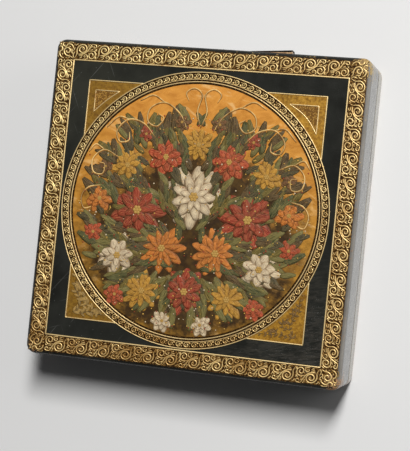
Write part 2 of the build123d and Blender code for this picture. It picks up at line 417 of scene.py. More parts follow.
def side_leather():
    """Leather of the upright sides, smooth from handling, a little grey, with painted sheen on the right
    side and scuffs along its edges.
    """
    settings = bpy.context.scene.box_leather
    f = Finish("side_leather", Coat_Roughness=0.10, Coat_IOR=1.65, IOR=1.45)
    height = f.axis("Z")
    on_right = f.between(f.axis("X"), half_x - 4.0 * MM, half_x - 1.0 * MM)
    on_base = f.between(height, seam_z - 0.1 * MM, seam_z + 0.1 * MM, 1.0, 0.0)
    rubbed = f.noise(1.0, 5.0, 0.65, f.stretched(45, 45, 210), 0.8)
    streak = f.plus(f.times(rubbed, 0.65), f.times(f.noise(360, 4.0, 0.65), 0.35))
    # Painted sheen on the right side over the dark leather, a little grey elsewhere
    base = grey_and_painted_sheen(f, settings, height, on_right, on_base, streak)
    dash = f.between(f.noise(1.0, 2.0, 0.5, f.stretched(170, 170, 500)), 0.50, 0.60)
    beside_seam = f.between(f.unsigned(f.minus(height, seam_z)), 0.5 * MM, 1.3 * MM, 1.0, 0.0)
    base = f.mix(f.times(dash, beside_seam), base, (0.075, 0.035, 0.014))
    scuffed = f.plus(f.between(height, 0.0, 0.004, 0.45, 0.0), f.noise(480, 5.0, 0.72))
    wear = f.most(worn_share(f, WORN_SIDES), f.between(scuffed, 0.78, 0.86),
                  chips(f, f.between(height, ground_z - 3.8 * MM, ground_z - 2.4 * MM)))
    f.colour(f.mix(wear, base, bare_leather(f, settings, tone(206, 182, 124))))
    f.set("Coat Weight", f.times(f.between(streak, 0.35, 0.65, 1.0, 0.8),
                                 f.between(on_right, 0.0, 1.0, 0.12, 1.0),
                                 f.between(on_base, 0.0, 1.0, 0.52, 0.80),
                                 f.between(wear, 0.0, 1.0, 1.0, 0.05)))
    f.set("Specular IOR Level", f.between(on_right, 0.0, 1.0, 0.12, 0.5))
    fine = f.noise(1.0, 4.0, 0.65, f.stretched(160, 160, 900))
    f.roughness(f.plus(f.between(fine, 0.3, 0.7, 0.16, 0.40), f.between(on_right, 0.0, 1.0, 0.28, 0.0)))
    waves = f.bump(f.noise(40, 2.0), 0.25 * MM)
    f.normal(f.bump(f.plus(fine, f.times(f.cells(1500), 0.5)), 0.05 * MM, waves))
    return f.material


def grey_and_painted_sheen(f, settings, height, on_right, on_base, streak):
    """The dark leather a little grey on every side, and on the right side painted sheen: grey on the lid,
    tan on the base, palest on the rolled edge.
    """
    cloud = f.noise(60, 4.0)
    dark = f.ramp(cloud, 0.35, 0.7, settings.colour, scaled(settings.colour, 1.9))
    lid_grey = f.ramp(streak, 0.38, 0.60, (0.037, 0.037, 0.035), (0.104, 0.102, 0.096))
    # Painted sheen: palest grey on the rolled edge of the right side
    rolled = f.times(f.between(height, ground_z - 3.6 * MM, ground_z - 1.6 * MM), on_right)
    lid_grey = f.mix(rolled, lid_grey, (0.30, 0.275, 0.24))
    base_tan = f.ramp(streak, 0.38, 0.60, (0.095, 0.082, 0.044), (0.27, 0.235, 0.14))
    grey = f.mix(f.times(on_base, f.between(on_right, 0.0, 1.0, 0.25, 1.0)), lid_grey, base_tan)
    # Full strength on the right side, where the grey and tan are painted sheen, and weaker on the other
    # sides
    share = f.times(f.between(on_right, 0.0, 1.0, 0.3, 1.0), f.between(cloud, 0.25, 0.7, 0.65, 1.0))
    return f.mix(share, dark, grey)


def gold_leaf():
    """Gold leaf, paler where sound and browner where the hand has rubbed it and towards the front left,
    with painted highlights on the crests and at the back left and painted shade low on the flanks.
    """
    settings = bpy.context.scene.box_gilt
    f = Finish("gold_leaf", Metallic=0.45, Specular_IOR_Level=0.5)
    cloud = f.noise(75, 4.0, 0.6)
    speck = f.noise(1300, 3.0, 0.65)
    dull = f.times(f.near((-0.055, centre_y - half_y, top_z), 20 * MM, 130 * MM), 0.12)
    cover = f.plus(f.times(cloud, 0.7), f.times(speck, 0.6))
    thin = f.between(f.plus(cover, dull), 0.60, 0.84)
    leaf = f.mix(thin, settings.bright, settings.rubbed)
    # Painted highlight: the crests of the strokes paler
    painted_crest_highlight = f.between(f.axis("Z"), ground_z + 0.44 * MM, ground_z + 0.62 * MM)
    leaf = f.mix(f.times(painted_crest_highlight, f.between(cloud, 0.3, 0.6, 0.8, 0.3)), leaf, (1.0, 0.80, 0.38))
    # Painted highlight: paler gold towards the back left, standing for a glint
    painted_glint_back_left = f.near((-half_x, centre_y + half_y, top_z), 10 * MM, 190 * MM)
    leaf = f.mix(f.times(painted_glint_back_left, 0.55), leaf, (1.0, 0.80, 0.36))
    # Painted shade: the low flanks of the strokes darkened to deep brown
    low = f.between(f.axis("Z"), ground_z + 0.05 * MM, ground_z + 0.40 * MM, 1.0, 0.0)
    f.colour(f.mix(f.times(low, 0.85), leaf, scaled(settings.rubbed, 0.30)))
    f.roughness(f.between(speck, 0.3, 0.7, 0.30, 0.52))
    f.normal(f.bump(f.noise(2200, 3.0), 0.05 * MM))
    return f.material


def pale_gold():
    """Paler gold of the plain fillets."""
    f = Finish("pale_gold", Metallic=0.6)
    speck = f.noise(1100, 3.0, 0.7)
    cloud = f.noise(60, 3.0)
    tired = f.between(f.plus(f.times(cloud, 0.5), f.times(speck, 0.6)), 0.60, 0.74)
    f.colour(f.mix(tired, tone(244, 214, 152), tone(176, 122, 56)))
    f.roughness(f.between(speck, 0.3, 0.7, 0.34, 0.55))
    f.normal(f.bump(f.noise(2400, 2.0), 0.04 * MM))
    return f.material


def panel_paint():
    """Ochre gold paint of the corner panels, mottled, with worn relief, and painted shade that darkens the
    left ones.
    """
    f = Finish("panel_paint", Metallic=0.2, Specular_IOR_Level=0.15)
    fine = f.noise(620, 4.0, 0.65)
    wide = f.noise(70, 3.0, 0.55)
    ochre = f.ramp(wide, 0.35, 0.68, tone(170, 121, 36), tone(130, 90, 24))
    fleck = f.ramp(fine, 0.40, 0.62, tone(198, 152, 58), tone(98, 62, 16))
    paint = f.mix(0.48, ochre, fleck)
    # Painted shade: the left panels darker
    paint = f.mix(f.between(f.axis("X"), -0.05, 0.02, 0.45, 0.0), paint, tone(104, 78, 32))
    rubbing = f.noise(1.0, 5.0, 0.7, f.stretched(210, 90, 100, turn=math.radians(35)), 1.0)
    f.colour(f.mix(f.between(rubbing, 0.55, 0.68, 0.0, 0.55), paint, tone(92, 58, 20)))
    f.roughness(f.between(fine, 0.3, 0.7, 0.36, 0.58))
    f.normal(f.bump(f.plus(fine, f.times(f.cells(480), 0.6)), 0.12 * MM))
    return f.material


def dark_grain():
    """Brown granulated filling of the small triangles."""
    f = Finish("dark_grain", Roughness=0.6, Specular_IOR_Level=0.15)
    crumb = f.cells(1100)
    f.colour(f.ramp(crumb, 0.15, 0.6, tone(182, 138, 62), tone(112, 76, 26)))
    f.normal(f.bump(crumb, 0.2 * MM))
    return f.material


def ground_paint():
    """Varnished ochre paint, warmer at the top and olive lower down, with soft brush strokes."""
    shade = bpy.context.scene.box_picture.shade
    f = Finish("ground_paint", Specular_IOR_Level=0.15, Metallic=0.12)
    low = f.between(f.plus(f.axis("Y"), f.times(f.noise(32, 3.0), 0.05)), -0.02, 0.085, 1.0, 0.0)
    stroke = f.noise(1.0, 5.0, 0.65, f.stretched(75, 130, 75, turn=math.radians(24)), 1.2)
    warm = f.ramp(stroke, 0.36, 0.66, tone(224, 155, 68), tone(194, 126, 48))
    olive = f.ramp(stroke, 0.36, 0.66, tone(186, 136, 50), tone(146, 100, 30))
    paint = f.mix(low, warm, olive)
    light = f.noise(1.0, 4.0, 0.6, f.stretched(48, 105, 60, turn=math.radians(-12)), 1.5)
    paint = f.mix(f.times(f.between(light, 0.56, 0.70), 0.6), paint, tone(240, 196, 130))
    heart = f.distance(f.stretched(OVAL, 1.0, 0.0), (ring_middle.x * OVAL, ring_middle.y - 0.022, 0.0))
    edge = f.plus(heart, f.times(f.noise(110, 5.0, 0.65), 0.050))
    dark = f.ramp(f.noise(260, 4.0), 0.38, 0.66, shade, tone(84, 62, 30))
    f.colour(f.mix(f.between(edge, 0.074, 0.090, 1.0, 0.0), paint, dark))
    f.roughness(f.between(f.noise(220, 3.0), 0.3, 0.7, 0.34, 0.52))
    f.normal(f.bump(f.plus(stroke, f.times(f.noise(1500, 3.0), 0.4)), 0.14 * MM))
    return f.material


def painted_relief():
    """Thick paint in the colour of each petal, leaf or tendril, streaked along it."""
    f = Finish("painted_relief", Specular_IOR_Level=0.12)
    colour = f.node("ShaderNodeAttribute", "Color", {"attribute_name": "paint"})
    along = f.node("ShaderNodeUVMap", 0, {"uv_map": "strokes"})
    streak = f.noise(1.0, 3.0, 0.6, f.stretched(2.6, 17, 1, along))
    grit = f.noise(1200, 3.0, 0.65)
    deep = f.mix(1.0, colour, (0.20, 0.14, 0.13), "MULTIPLY")
    light = f.mix(0.22, colour, tone(250, 214, 150))
    paint = f.ramp(streak, 0.36, 0.62, deep, light)
    paint = f.mix(0.25, paint, colour)
    f.colour(f.mix(f.between(grit, 0.60, 0.72, 0.0, 0.45), paint, tone(206, 150, 70)))
    f.roughness(f.between(grit, 0.3, 0.7, 0.34, 0.56))
    f.normal(f.bump(f.plus(streak, f.times(grit, 0.5)), 0.12 * MM))
    return f.material


def torn_flesh():
    """Fibrous flesh side of torn leather, tan at the standing end of the tongue and browner to its left."""
    f = Finish("torn_flesh", Roughness=0.85, Sheen_Weight=0.25)
    fibre = f.noise(1.0, 4.0, 0.7, f.stretched(300, 1100, 2400))
    tan = f.ramp(fibre, 0.35, 0.65, tone(224, 186, 138), tone(128, 90, 58))
    brown = f.ramp(fibre, 0.35, 0.65, tone(120, 84, 52), tone(58, 42, 28))
    f.colour(f.mix(f.between(f.axis("X"), 0.036, 0.044, 1.0, 0.0), tan, brown))
    f.normal(f.bump(fibre, 0.35 * MM))
    return f.material


def torn_skin():
    """Dark outer skin of the torn tongue."""
    f = Finish("torn_skin", Roughness=0.7, Specular_IOR_Level=0.2)
    speck = f.noise(500, 4.0, 0.7)
    f.colour(f.ramp(speck, 0.58, 0.75, (0.014, 0.012, 0.008), (0.12, 0.07, 0.03)))
    f.normal(f.bump(speck, 0.2 * MM))
    return f.material


def woven_silk():
    """Silk with a fine weave and a soft sheen."""
    silk = bpy.context.scene.box_lining.silk
    f = Finish("woven_silk", Roughness=0.48, Specular_IOR_Level=0.5, Sheen_Weight=0.5, Sheen_Roughness=0.35,
               Sheen_Tint=(1.0, 0.72, 0.66))
    warp = f.bands("X", "SIN", 700.0, 0.6)
    weft = f.bands("Y", "SIN", 560.0, 0.8)
    slub = f.noise(1.0, 4.0, 0.6, f.stretched(30, 900, 900))
    base = f.ramp(f.noise(34, 4.0), 0.35, 0.7, silk, scaled(silk, 0.74))
    f.colour(f.mix(f.between(slub, 0.55, 0.75, 0.0, 0.35), base, scaled(silk, 1.9)))
    f.normal(f.bump(f.plus(f.times(warp, weft), f.times(slub, 0.6)), 0.05 * MM))
    return f.material


def silk_thread():
    """Paler thread of the stitches."""
    f = Finish("silk_thread", Roughness=0.5, Sheen_Weight=0.3)
    twist = f.noise(1.0, 2.0, 0.5, f.stretched(1400, 1400, 200))
    f.colour(f.ramp(twist, 0.35, 0.65, (0.46, 0.13, 0.09), (0.24, 0.05, 0.04)))
    return f.material


def planed_wood():
    """Planed wood with growth rings and pores."""
    f = Finish("planed_wood", Roughness=0.55)
    rings = f.bands("Z", "SAW", 260.0, 6.0, 3.0, f.stretched(0.12, 0.5, 1.0))
    pores = f.noise(1.0, 3.0, 0.7, f.stretched(90, 900, 1800))
    tint = f.ramp(rings, 0.2, 0.9, tone(166, 118, 72), tone(128, 84, 46))
    f.colour(f.ramp(pores, 0.56, 0.68, tint, tone(70, 44, 24)))
    f.normal(f.bump(pores, 0.1 * MM))
    return f.material


def aged_brass():
    """Brass gone brown, bright where it rubs."""
    f = Finish("aged_brass", Metallic=1.0)
    cloud = f.noise(420, 4.0, 0.6)
    f.colour(f.ramp(cloud, 0.38, 0.68, tone(196, 158, 88), tone(112, 78, 40)))
    f.roughness(f.between(cloud, 0.3, 0.7, 0.28, 0.5))
    f.normal(f.bump(f.noise(1.0, 2.0, 0.6, f.stretched(2600, 200, 2600)), 0.02 * MM))
    return f.material


def floor_paper():
    """Plain pale floor, with painted shade that makes it a little darker on the left and towards the back.
    """
    pale = bpy.context.scene.box_stage.floor
    f = Finish("floor_paper", Roughness=0.75, Specular_IOR_Level=0.3)
    # Painted shade: darker towards the left and the back
    across = f.minus(f.axis("X"), f.times(f.axis("Y"), 0.6))
    f.colour(f.ramp(across, -0.22, 0.22, scaled(pale, 0.93), scaled(pale, 1.01)))
    return f.material


FINISHES = {maker.__name__: maker for maker in (
    tooled_leather, side_leather, gold_leaf, pale_gold, panel_paint, dark_grain, ground_paint,
    painted_relief, torn_flesh, torn_skin, woven_silk, silk_thread, planed_wood, aged_brass, floor_paper,
)}
made_finishes = {}


def finish_named(name):
    """The material made by the function of that name, when it is first asked for."""
    if name not in made_finishes:
        made_finishes[name] = FINISHES[name]()
    return made_finishes[name]


# Mesh building

class Shape:
    """Vertices and faces gathered into one mesh, with a paint colour and stroke place for each vertex."""

    def __init__(self):
        self.vertices = []
        self.faces = []
        self.paint = []
        self.strokes = []

    def add(self, vertices, faces, paint=None, strokes=None):
        start = len(self.vertices)
        self.vertices.extend(Vector(v) for v in vertices)
        self.faces.extend(tuple(start + index for index in face) for face in faces)
        if paint is not None:
            self.paint.extend(paint)
            self.strokes.extend(strokes)

    def mesh(self, name):
        mesh = bpy.data.meshes.new(name)
        mesh.from_pydata(self.vertices, [], self.faces)
        if self.paint:
            colours = mesh.color_attributes.new("paint", "FLOAT_COLOR", "POINT")
            for item, colour in zip(colours.data, self.paint):
                item.color = (*colour, 1.0)
            places = mesh.uv_layers.new(name="strokes")
            for loop in mesh.loops:
                places.data[loop.index].uv = self.strokes[loop.vertex_index]
        mesh.update()
        return mesh


def outward(mesh, weld=0.0):
    """Joins vertices closer than the weld and turns every face of a closed mesh outwards."""
    form = bmesh.new()
    form.from_mesh(mesh)
    if weld:
        bmesh.ops.remove_doubles(form, verts=form.verts, dist=weld)
    bmesh.ops.recalc_face_normals(form, faces=form.faces)
    form.to_mesh(mesh)
    form.free()


def linked(name, data):
    """A new object in the scene."""
    obj = bpy.data.objects.new(name, data)
    bpy.context.scene.collection.objects.link(obj)
    return obj


def with_modifiers(obj):
    """A plain mesh of the object as its modifiers leave it."""
    bpy.context.view_layer.update()
    return bpy.data.meshes.new_from_object(obj.evaluated_get(bpy.context.evaluated_depsgraph_get()))


def piece(name, mesh, finish, body, stands_for=(), smooth=True):
    """Makes the finished object, riding on its body."""
    mesh.name = name
    obj = linked(name, mesh)
    mesh.materials.clear()
    for item in ([finish] if isinstance(finish, str) else finish):
        mesh.materials.append(finish_named(item))
    if smooth:
        mesh.shade_smooth()
    else:
        mesh.shade_flat()
    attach(obj, body)
    if stands_for:
        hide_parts(*stands_for)
    return obj


def shaped_piece(name, shape, finish, body, stands_for=(), smooth=True):
    """Makes the finished object from a gathered shape."""
    mesh = shape.mesh(name)
    outward(mesh)
    return piece(name, mesh, finish, body, stands_for, smooth)


def on_lid(name, shape, finish, smooth=True):
    """Makes a shape into a piece that decorates the lid."""
    return shaped_piece(name, shape, finish, "lid", smooth=smooth)


def repeat_tree():
    """Geometry Nodes that put one motif on every point, turned and sized by the points' own values."""
    existing = bpy.data.node_groups.get("Repeated motif")
    if existing:
        return existing
    tree = bpy.data.node_groups.new("Repeated motif", "GeometryNodeTree")
    inlets = (("Places", "Geometry"), ("Motif", "Object"), ("Unevenness", "Float"), ("Seed", "Int"),
              ("Finish", "Material"))
    for label, kind in inlets:
        tree.interface.new_socket(label, in_out="INPUT", socket_type="NodeSocket" + kind)
    tree.interface.new_socket("Pieces", in_out="OUTPUT", socket_type="NodeSocketGeometry")
    start = tree.nodes.new("NodeGroupInput").outputs
    motif = add_node(tree, "GeometryNodeObjectInfo", "Geometry", Object=start["Motif"])
    number = {"data_type": "FLOAT"}
    turn = add_node(tree, "GeometryNodeInputNamedAttribute", "Attribute", number, Name="turn")
    size = add_node(tree, "GeometryNodeInputNamedAttribute", "Attribute", number, Name="size")
    spin = add_node(tree, "ShaderNodeCombineXYZ", 0, Z=turn)
    least = add_node(tree, "ShaderNodeMath", 0, {"operation": "SUBTRACT"}, i0=1.0, i1=start["Unevenness"])
    chance = add_node(tree, "FunctionNodeRandomValue", 1, number, i2=least, i3=1.0, Seed=start["Seed"])
    uneven = add_node(tree, "ShaderNodeMath", 0, {"operation": "MULTIPLY"}, i0=size, i1=chance)
    placed = add_node(tree, "GeometryNodeInstanceOnPoints", 0, Points=start["Places"], Instance=motif,
                      Rotation=spin, Scale=uneven)
    solid = add_node(tree, "GeometryNodeRealizeInstances", 0, Geometry=placed)
    dressed = add_node(tree, "GeometryNodeSetMaterial", 0, Geometry=solid, Material=start["Finish"])
    tree.links.new(dressed, tree.nodes.new("NodeGroupOutput").inputs["Pieces"])
    return tree


def repeated(name, motif, places, finish, unevenness, seed):
    """One plain mesh with the motif at every place, given as x, y, z, turn and size."""
    outward(motif)
    stamp = linked(name + "_motif", motif)
    points = bpy.data.meshes.new(name + "_places")
    points.from_pydata([place[:3] for place in places], [], [])
    for label, index in (("turn", 3), ("size", 4)):
        values = points.attributes.new(label, "FLOAT", "POINT")
        values.data.foreach_set("value", [place[index] for place in places])
    holder = linked(name + "_places", points)
    modifier = holder.modifiers.new("Repeated motif", "NODES")
    modifier.node_group = repeat_tree()
    values = {"Motif": stamp, "Unevenness": unevenness, "Seed": seed, "Finish": finish_named(finish)}
    for item in modifier.node_group.interface.items_tree:
        if item.item_type == "SOCKET" and item.in_out == "INPUT" and item.name in values:
            modifier[item.identifier] = values[item.name]
    mesh = with_modifiers(holder)
    bpy.data.objects.remove(holder)
    bpy.data.objects.remove(stamp)
    return mesh


def cut_away(mesh, *cutters):
    """The mesh without the room that the cutter meshes take."""
    body = linked("cut_body", mesh)
    tools = [linked(cutter.name, cutter) for cutter in cutters]
    for tool in tools:
        modifier = body.modifiers.new("Cut", "BOOLEAN")
        modifier.operation = "DIFFERENCE"
        modifier.solver = "EXACT"
        modifier.object = tool
    result = with_modifiers(body)
    for obj in (body, *tools):
        bpy.data.objects.remove(obj)
    return result


def smooth_path(points, steps):
    """Curve through the points, with this many steps between each two."""
    points = [Vector((*p, 0.0)) if len(p) == 2 else Vector(p) for p in points]
    ends = [2 * points[0] - points[1]] + points + [2 * points[-1] - points[-2]]
    path = []
    for index in range(1, len(ends) - 2):
        p0, p1, p2, p3 = ends[index - 1:index + 3]
        for step in range(steps):
            t = step / steps
            path.append(0.5 * ((2 * p1) + (p2 - p0) * t + (2 * p0 - 5 * p1 + 4 * p2 - p3) * t * t
                               + (3 * p1 - p0 - 3 * p2 + p3) * t ** 3))
    path.append(points[-1].copy())
    return path


# Cross sections of a raised stroke, as shares of half its width and of its height
ROUND_BACK = ((-1.0, -0.12), (-0.74, 0.62), (0.0, 1.0), (0.74, 0.62), (1.0, -0.12))
PLAIN_BACK = ((-1.0, -0.12), (-0.5, 0.9), (0.5, 0.9), (1.0, -0.12))
FLAT_BACK = ((-1.0, -0.12), (-0.8, 0.85), (0.0, 1.0), (0.8, 0.85), (1.0, -0.12))


def tube_faces(rounds, size, closed=False):
    """Faces between rounds of points, capped at both ends where the last round doesn't meet the first."""
    faces = []
    for index in range(rounds if closed else rounds - 1):
        here = index * size
        there = ((index + 1) % rounds) * size
        for step in range(size):
            following = (step + 1) % size
            faces.append((here + step, there + step, there + following, here + following))
    if not closed:
        faces.append(tuple(range(size)))
        faces.append(tuple(reversed(range((rounds - 1) * size, rounds * size))))
    return faces


def sheet_faces(rows, columns):
    """Faces of a grid of points, the same grid again below it, and a wall round both."""
    wide = columns + 1
    below = (rows + 1) * wide
    faces = []
    for row in range(rows):
        for column in range(columns):
            here = row * wide + column
            faces.append((here, here + wide, here + wide + 1, here + 1))
            faces.append((below + here, below + here + 1, below + here + wide + 1, below + here + wide))
    rim = [row * wide for row in range(rows)] + [rows * wide + column for column in range(columns)]
    rim += [row * wide + columns for row in range(rows, 0, -1)] + list(range(columns, 0, -1))
    for here, following in zip(rim, rim[1:] + rim[:1]):
        faces.append((here, following, below + following, below + here))
    return faces


def prism(first, second):
    """A solid between two outlines of equally many points: its vertices and faces."""
    return first + second, tube_faces(2, len(first))


def block(width, depth, low, high, place, turn=0.0):
    """A block turned about the upright axis through a place: its vertices and faces."""
    rotation = Matrix.Rotation(turn, 3, "Z")
    ends = []
    for z in (low, high):
        corners = ((-width, -depth), (width, -depth), (width, depth), (-width, depth))
        ends.append([place + rotation @ Vector((x / 2, y / 2, z)) for x, y in corners])
    return prism(*ends)


def ridge(path, width, height, taper=0.2, section=ROUND_BACK, closed=False):
    """A raised stroke along a path, narrower towards its ends: its vertices and faces."""
    count = len(path)
    vertices = []
    for index, point in enumerate(path):
        ahead = path[(index + 1) % count] if closed or index + 1 < count else point
        behind = path[index - 1] if closed or index > 0 else point
        direction = (ahead - behind).normalized()
        side = Vector((direction.y, -direction.x, 0.0))
        from_end = min(index, count - 1 - index) / (count - 1)
        fade = 1.0
        if not closed and from_end < taper:
            fade = 0.25 + 0.75 * (from_end / taper) ** 0.6
        rise = height * (0.55 + 0.45 * fade)
        for across, up in section:
            vertices.append(point + side * (across * width / 2 * fade) + Vector((0, 0, up * rise)))
    return vertices, tube_faces(count, len(section), closed)


def mound(centre, length, width, turn, height, sides):
    """A low domed dot or leaf, turned about its own centre: its vertices and faces."""
    vertices = []
    for reach, up in ((1.0, -0.1), (0.72, 0.7)):
        for index in range(sides):
            angle = math.tau * index / sides
            x = reach * length / 2 * math.cos(angle)
            y = reach * width / 2 * math.sin(angle)
            vertices.append((centre[0] + x * math.cos(turn) - y * math.sin(turn),
                             centre[1] + x * math.sin(turn) + y * math.cos(turn), up * height))
    vertices.append((centre[0], centre[1], height))
    vertices.append((centre[0], centre[1], -0.1 * height))
    faces = []
    for index in range(sides):
        following = (index + 1) % sides
        faces.append((index, following, sides + following, sides + index))
        faces.append((sides + index, sides + following, 2 * sides))
        faces.append((following, index, 2 * sides + 1))
    return vertices, faces


def on_circle(radius, angle):
    """The place at an angle round the middle of the ring."""
    return ring_middle + radius * Vector((math.cos(angle), math.sin(angle), 0.0))


# Leather skins

def plan_round(inset, back_inset=None):
    """Points round the box's plan, this far inside its sides, front right corner first."""
    back = inset if back_inset is None else back_inset
    radius = max(PLAN_RADIUS - inset, 0.15 * MM)
    right = half_x - inset
    front = half_y - inset
    rear = half_y - back
    corners = ((right, -front, -90), (right, rear, 0), (-right, rear, 90), (-right, -front, 180))
    arcs = []
    for x, y, start in corners:
        middle = Vector((x - math.copysign(radius, x), centre_y + y - math.copysign(radius, y), 0.0))
        arc = []
        for step in range(CORNER_STEPS + 1):
            angle = math.radians(start + 90 * step / CORNER_STEPS)
            arc.append(middle + radius * Vector((math.cos(angle), math.sin(angle), 0.0)))
        arcs.append(arc)
    points = []
    for index, arc in enumerate(arcs):
        points.extend(arc)
        following = arcs[(index + 1) % 4][0]
        for step in range(1, SIDE_STEPS):
            points.append(arc[-1].lerp(following, step / SIDE_STEPS))
    return points


def rim_height(y, direction, skin):
    """Height of the sloped or level rim at a depth. Direction is 1 for the base and -1 for the lid."""
    level = seam_z - direction * (SEAM_GAP / 2 + skin)
    slope = seam_z - direction * ((y - axis_y) * math.tan(BEVEL_ANGLE) + (skin / math.cos(BEVEL_ANGLE)))
    return min(level, slope) if direction == 1 else max(level, slope)


def raised_round(inset, height, back_inset=None):
    """A round of points at a height, or at a height worked out from each point."""
    points = plan_round(inset, back_inset)
    for point in points:
        point.z = height(point) if callable(height) else height
    return points


# Insets of the rounds across the rim, in millimetres
RIM_STEPS = (1.2, 2.0, 2.8, 3.6, 5.5)


def at_rim(direction, skin=0.0, lift=0.0):
    """Height of the rim at each point of a round."""
    return lambda point: rim_height(point.y, direction, skin) + lift


def lid_rounds():
    """Rounds of the lid's skin, from the middle of its top over the edge, round the rim and back inside."""
    rounds = []
    for inset in (96, 80, 64, 50, 38, 28, 21, 16, 12, 9, 7, 5, 4.1):
        rounds.append(raised_round(inset * MM, ground_z))
    roll = 9
    for step in range(roll + 1):
        angle = math.radians(90 * (1 - step / roll))
        height = ground_z - EDGE_RADIUS * (1 - math.sin(angle))
        rounds.append(raised_round(EDGE_RADIUS * (1 - math.cos(angle)), height))
    shoulder = ground_z - EDGE_RADIUS
    edge = at_rim(-1, lift=0.45 * MM)
    for step in range(1, 12):
        share = step / 11
        rounds.append(raised_round(0.0, lambda p: shoulder + share * (edge(p) - shoulder)))
    rounds.append(raised_round(0.13 * MM, at_rim(-1, lift=0.13 * MM)))
    for inset in (0.45, *RIM_STEPS):
        rounds.append(raised_round(inset * MM, at_rim(-1)))
    rounds.append(raised_round(LEATHER + WALL, at_rim(-1), LEATHER + BACK_WALL))
    rounds.append(raised_round(LEATHER + WALL, at_rim(-1, LEATHER), LEATHER + BACK_WALL))
    for inset in (*reversed(RIM_STEPS), 0.8):
        rounds.append(raised_round(inset * MM, at_rim(-1, LEATHER)))
    rounds.append(raised_round(LEATHER, shoulder))
    for step in range(1, 6):
        angle = math.radians(90 * step / 5)
        inner = EDGE_RADIUS - LEATHER
        height = ground_z - LEATHER - inner * (1 - math.sin(angle))
        rounds.append(raised_round(LEATHER + inner * (1 - math.cos(angle)), height))
    for inset in (12, 40, 96):
        rounds.append(raised_round(inset * MM, ground_z - LEATHER))
    return rounds


def base_rounds():
    """Rounds of the base's skin, a closed loop from the rim down the outside and up the inside."""
    rounds = [raised_round(LEATHER + WALL, at_rim(1), LEATHER + BACK_WALL)]
    for inset in (*reversed(RIM_STEPS), 0.45):
        rounds.append(raised_round(inset * MM, at_rim(1)))
    rounds.append(raised_round(0.13 * MM, at_rim(1, lift=-0.13 * MM)))
    foot = SIDE_LIFT + 0.5 * MM
    edge = at_rim(1, lift=-0.45 * MM)
    for step in range(8):
        share = step / 7
        rounds.append(raised_round(0.0, lambda p: edge(p) + share * (foot - edge(p))))
    rounds.append(raised_round(0.15 * MM, SIDE_LIFT + 0.15 * MM))
    rounds.append(raised_round(0.5 * MM, SIDE_LIFT))
    rounds.append(raised_round(LEATHER, SIDE_LIFT))
    for inset in (0.8, *RIM_STEPS):
        rounds.append(raised_round(inset * MM, at_rim(1, LEATHER)))
    rounds.append(raised_round(LEATHER + WALL, at_rim(1, LEATHER), LEATHER + BACK_WALL))
    return rounds


def strayed(point, amount):
    """A point of the outside moved inwards a little, as hand-laid leather lies."""
    outermost = 0.985
    outside = Vector((point.x / half_x, (point.y - centre_y) / half_y, 0.0))
    side = max(abs(outside.x), abs(outside.y))
    if side < outermost:
        return point
    hollow = 0.5 + 0.5 * noise.noise(point * 34.0)
    crease = 0.5 + 0.5 * noise.noise(Vector((point.x * 210.0, point.y * 210.0, point.z * 90.0)))
    inward = amount * (0.75 * hollow + 0.25 * crease)
    moved = point.copy()
    if abs(outside.x) > outermost:
        moved.x -= math.copysign(inward, point.x)
    if abs(outside.y) > outermost:
        moved.y -= math.copysign(inward, outside.y)
    return moved


def skin_mesh(name, rounds, closed, amount):
    """Leather skin through the rounds, capped at both ends where it isn't a closed loop."""
    shape = Shape()
    vertices = [strayed(point, amount) for points in rounds for point in points]
    shape.add(vertices, tube_faces(len(rounds), len(rounds[0]), closed))
    mesh = shape.mesh(name)
    outward(mesh)
    return mesh


def with_hinge_room(mesh, direction):
    """The skin without the barrel grooves and leaf mortises of both hinges."""
    radius, length = BARREL_GROOVE
    width, depth, reach = MORTISE
    sides = 40
    low, high = sorted((-direction * reach, direction * 3 * MM))
    grooves = Shape()
    mortises = Shape()
    for x in HINGE_CENTRES:
        ends = ([], [])
        for index in range(sides):
            angle = math.tau * index / sides
            spoke = Vector((0.0, radius * math.cos(angle), radius * math.sin(angle)))
            for end, shift in zip(ends, (-length / 2, length / 2)):
                end.append(Vector((x + shift, axis_y, seam_z)) + spoke)
        grooves.add(*prism(*ends))
        middle = Vector((x, axis_y - (depth - 0.2 * MM) / 2, seam_z))
        mortises.add(*block(width, depth, low, high, middle))
    cutters = [grooves.mesh("hinge_grooves"), mortises.mesh("hinge_mortises")]
    for cutter in cutters:
        outward(cutter)
    return cut_away(mesh, *cutters)


def edge_drop(inset):
    """How far the rolled edge lies under the ground at an inset from the side."""
    if inset >= EDGE_RADIUS:
        return 0.0
    reach = (EDGE_RADIUS - max(inset, 0.0)) / EDGE_RADIUS
    return EDGE_RADIUS * (1 - math.sqrt(max(0.0, 1 - reach * reach)))


def laid_on_lid(mesh):
    """Lowers a flat ornament onto the rolled edge."""
    for vertex in mesh.vertices:
        x = half_x - abs(vertex.co.x)
        y = half_y - abs(vertex.co.y - centre_y)
        vertex.co.z -= edge_drop(min(x, y))
    return mesh


def polish_sides(mesh, shoulder):
    """Gives the upright faces below a height the second material."""
    for face in mesh.polygons:
        sideways = abs(face.normal.x) > abs(face.normal.y)
        turned_out = abs(face.normal.z) < (0.93 if sideways else 0.3)
        face.material_index = 1 if turned_out and face.center.z < shoulder else 0


class BOX_OT_lid_leather(bpy.types.Operator):
    """Leather over the lid, rolled over its edges and turned round the rim"""
    bl_idname = "leather_box.lid_leather"
    bl_label = "Lid leather"

    def execute(self, context):
        amount = context.scene.box_leather.wobble
        mesh = with_hinge_room(skin_mesh("lid_leather", lid_rounds(), False, amount), -1)
        obj = piece("lid_leather", mesh, ("tooled_leather", "side_leather"), "lid",
                    ("lid_leather_cover",))
        polish_sides(obj.data, ground_z - 0.3 * MM)
        return {"FINISHED"}


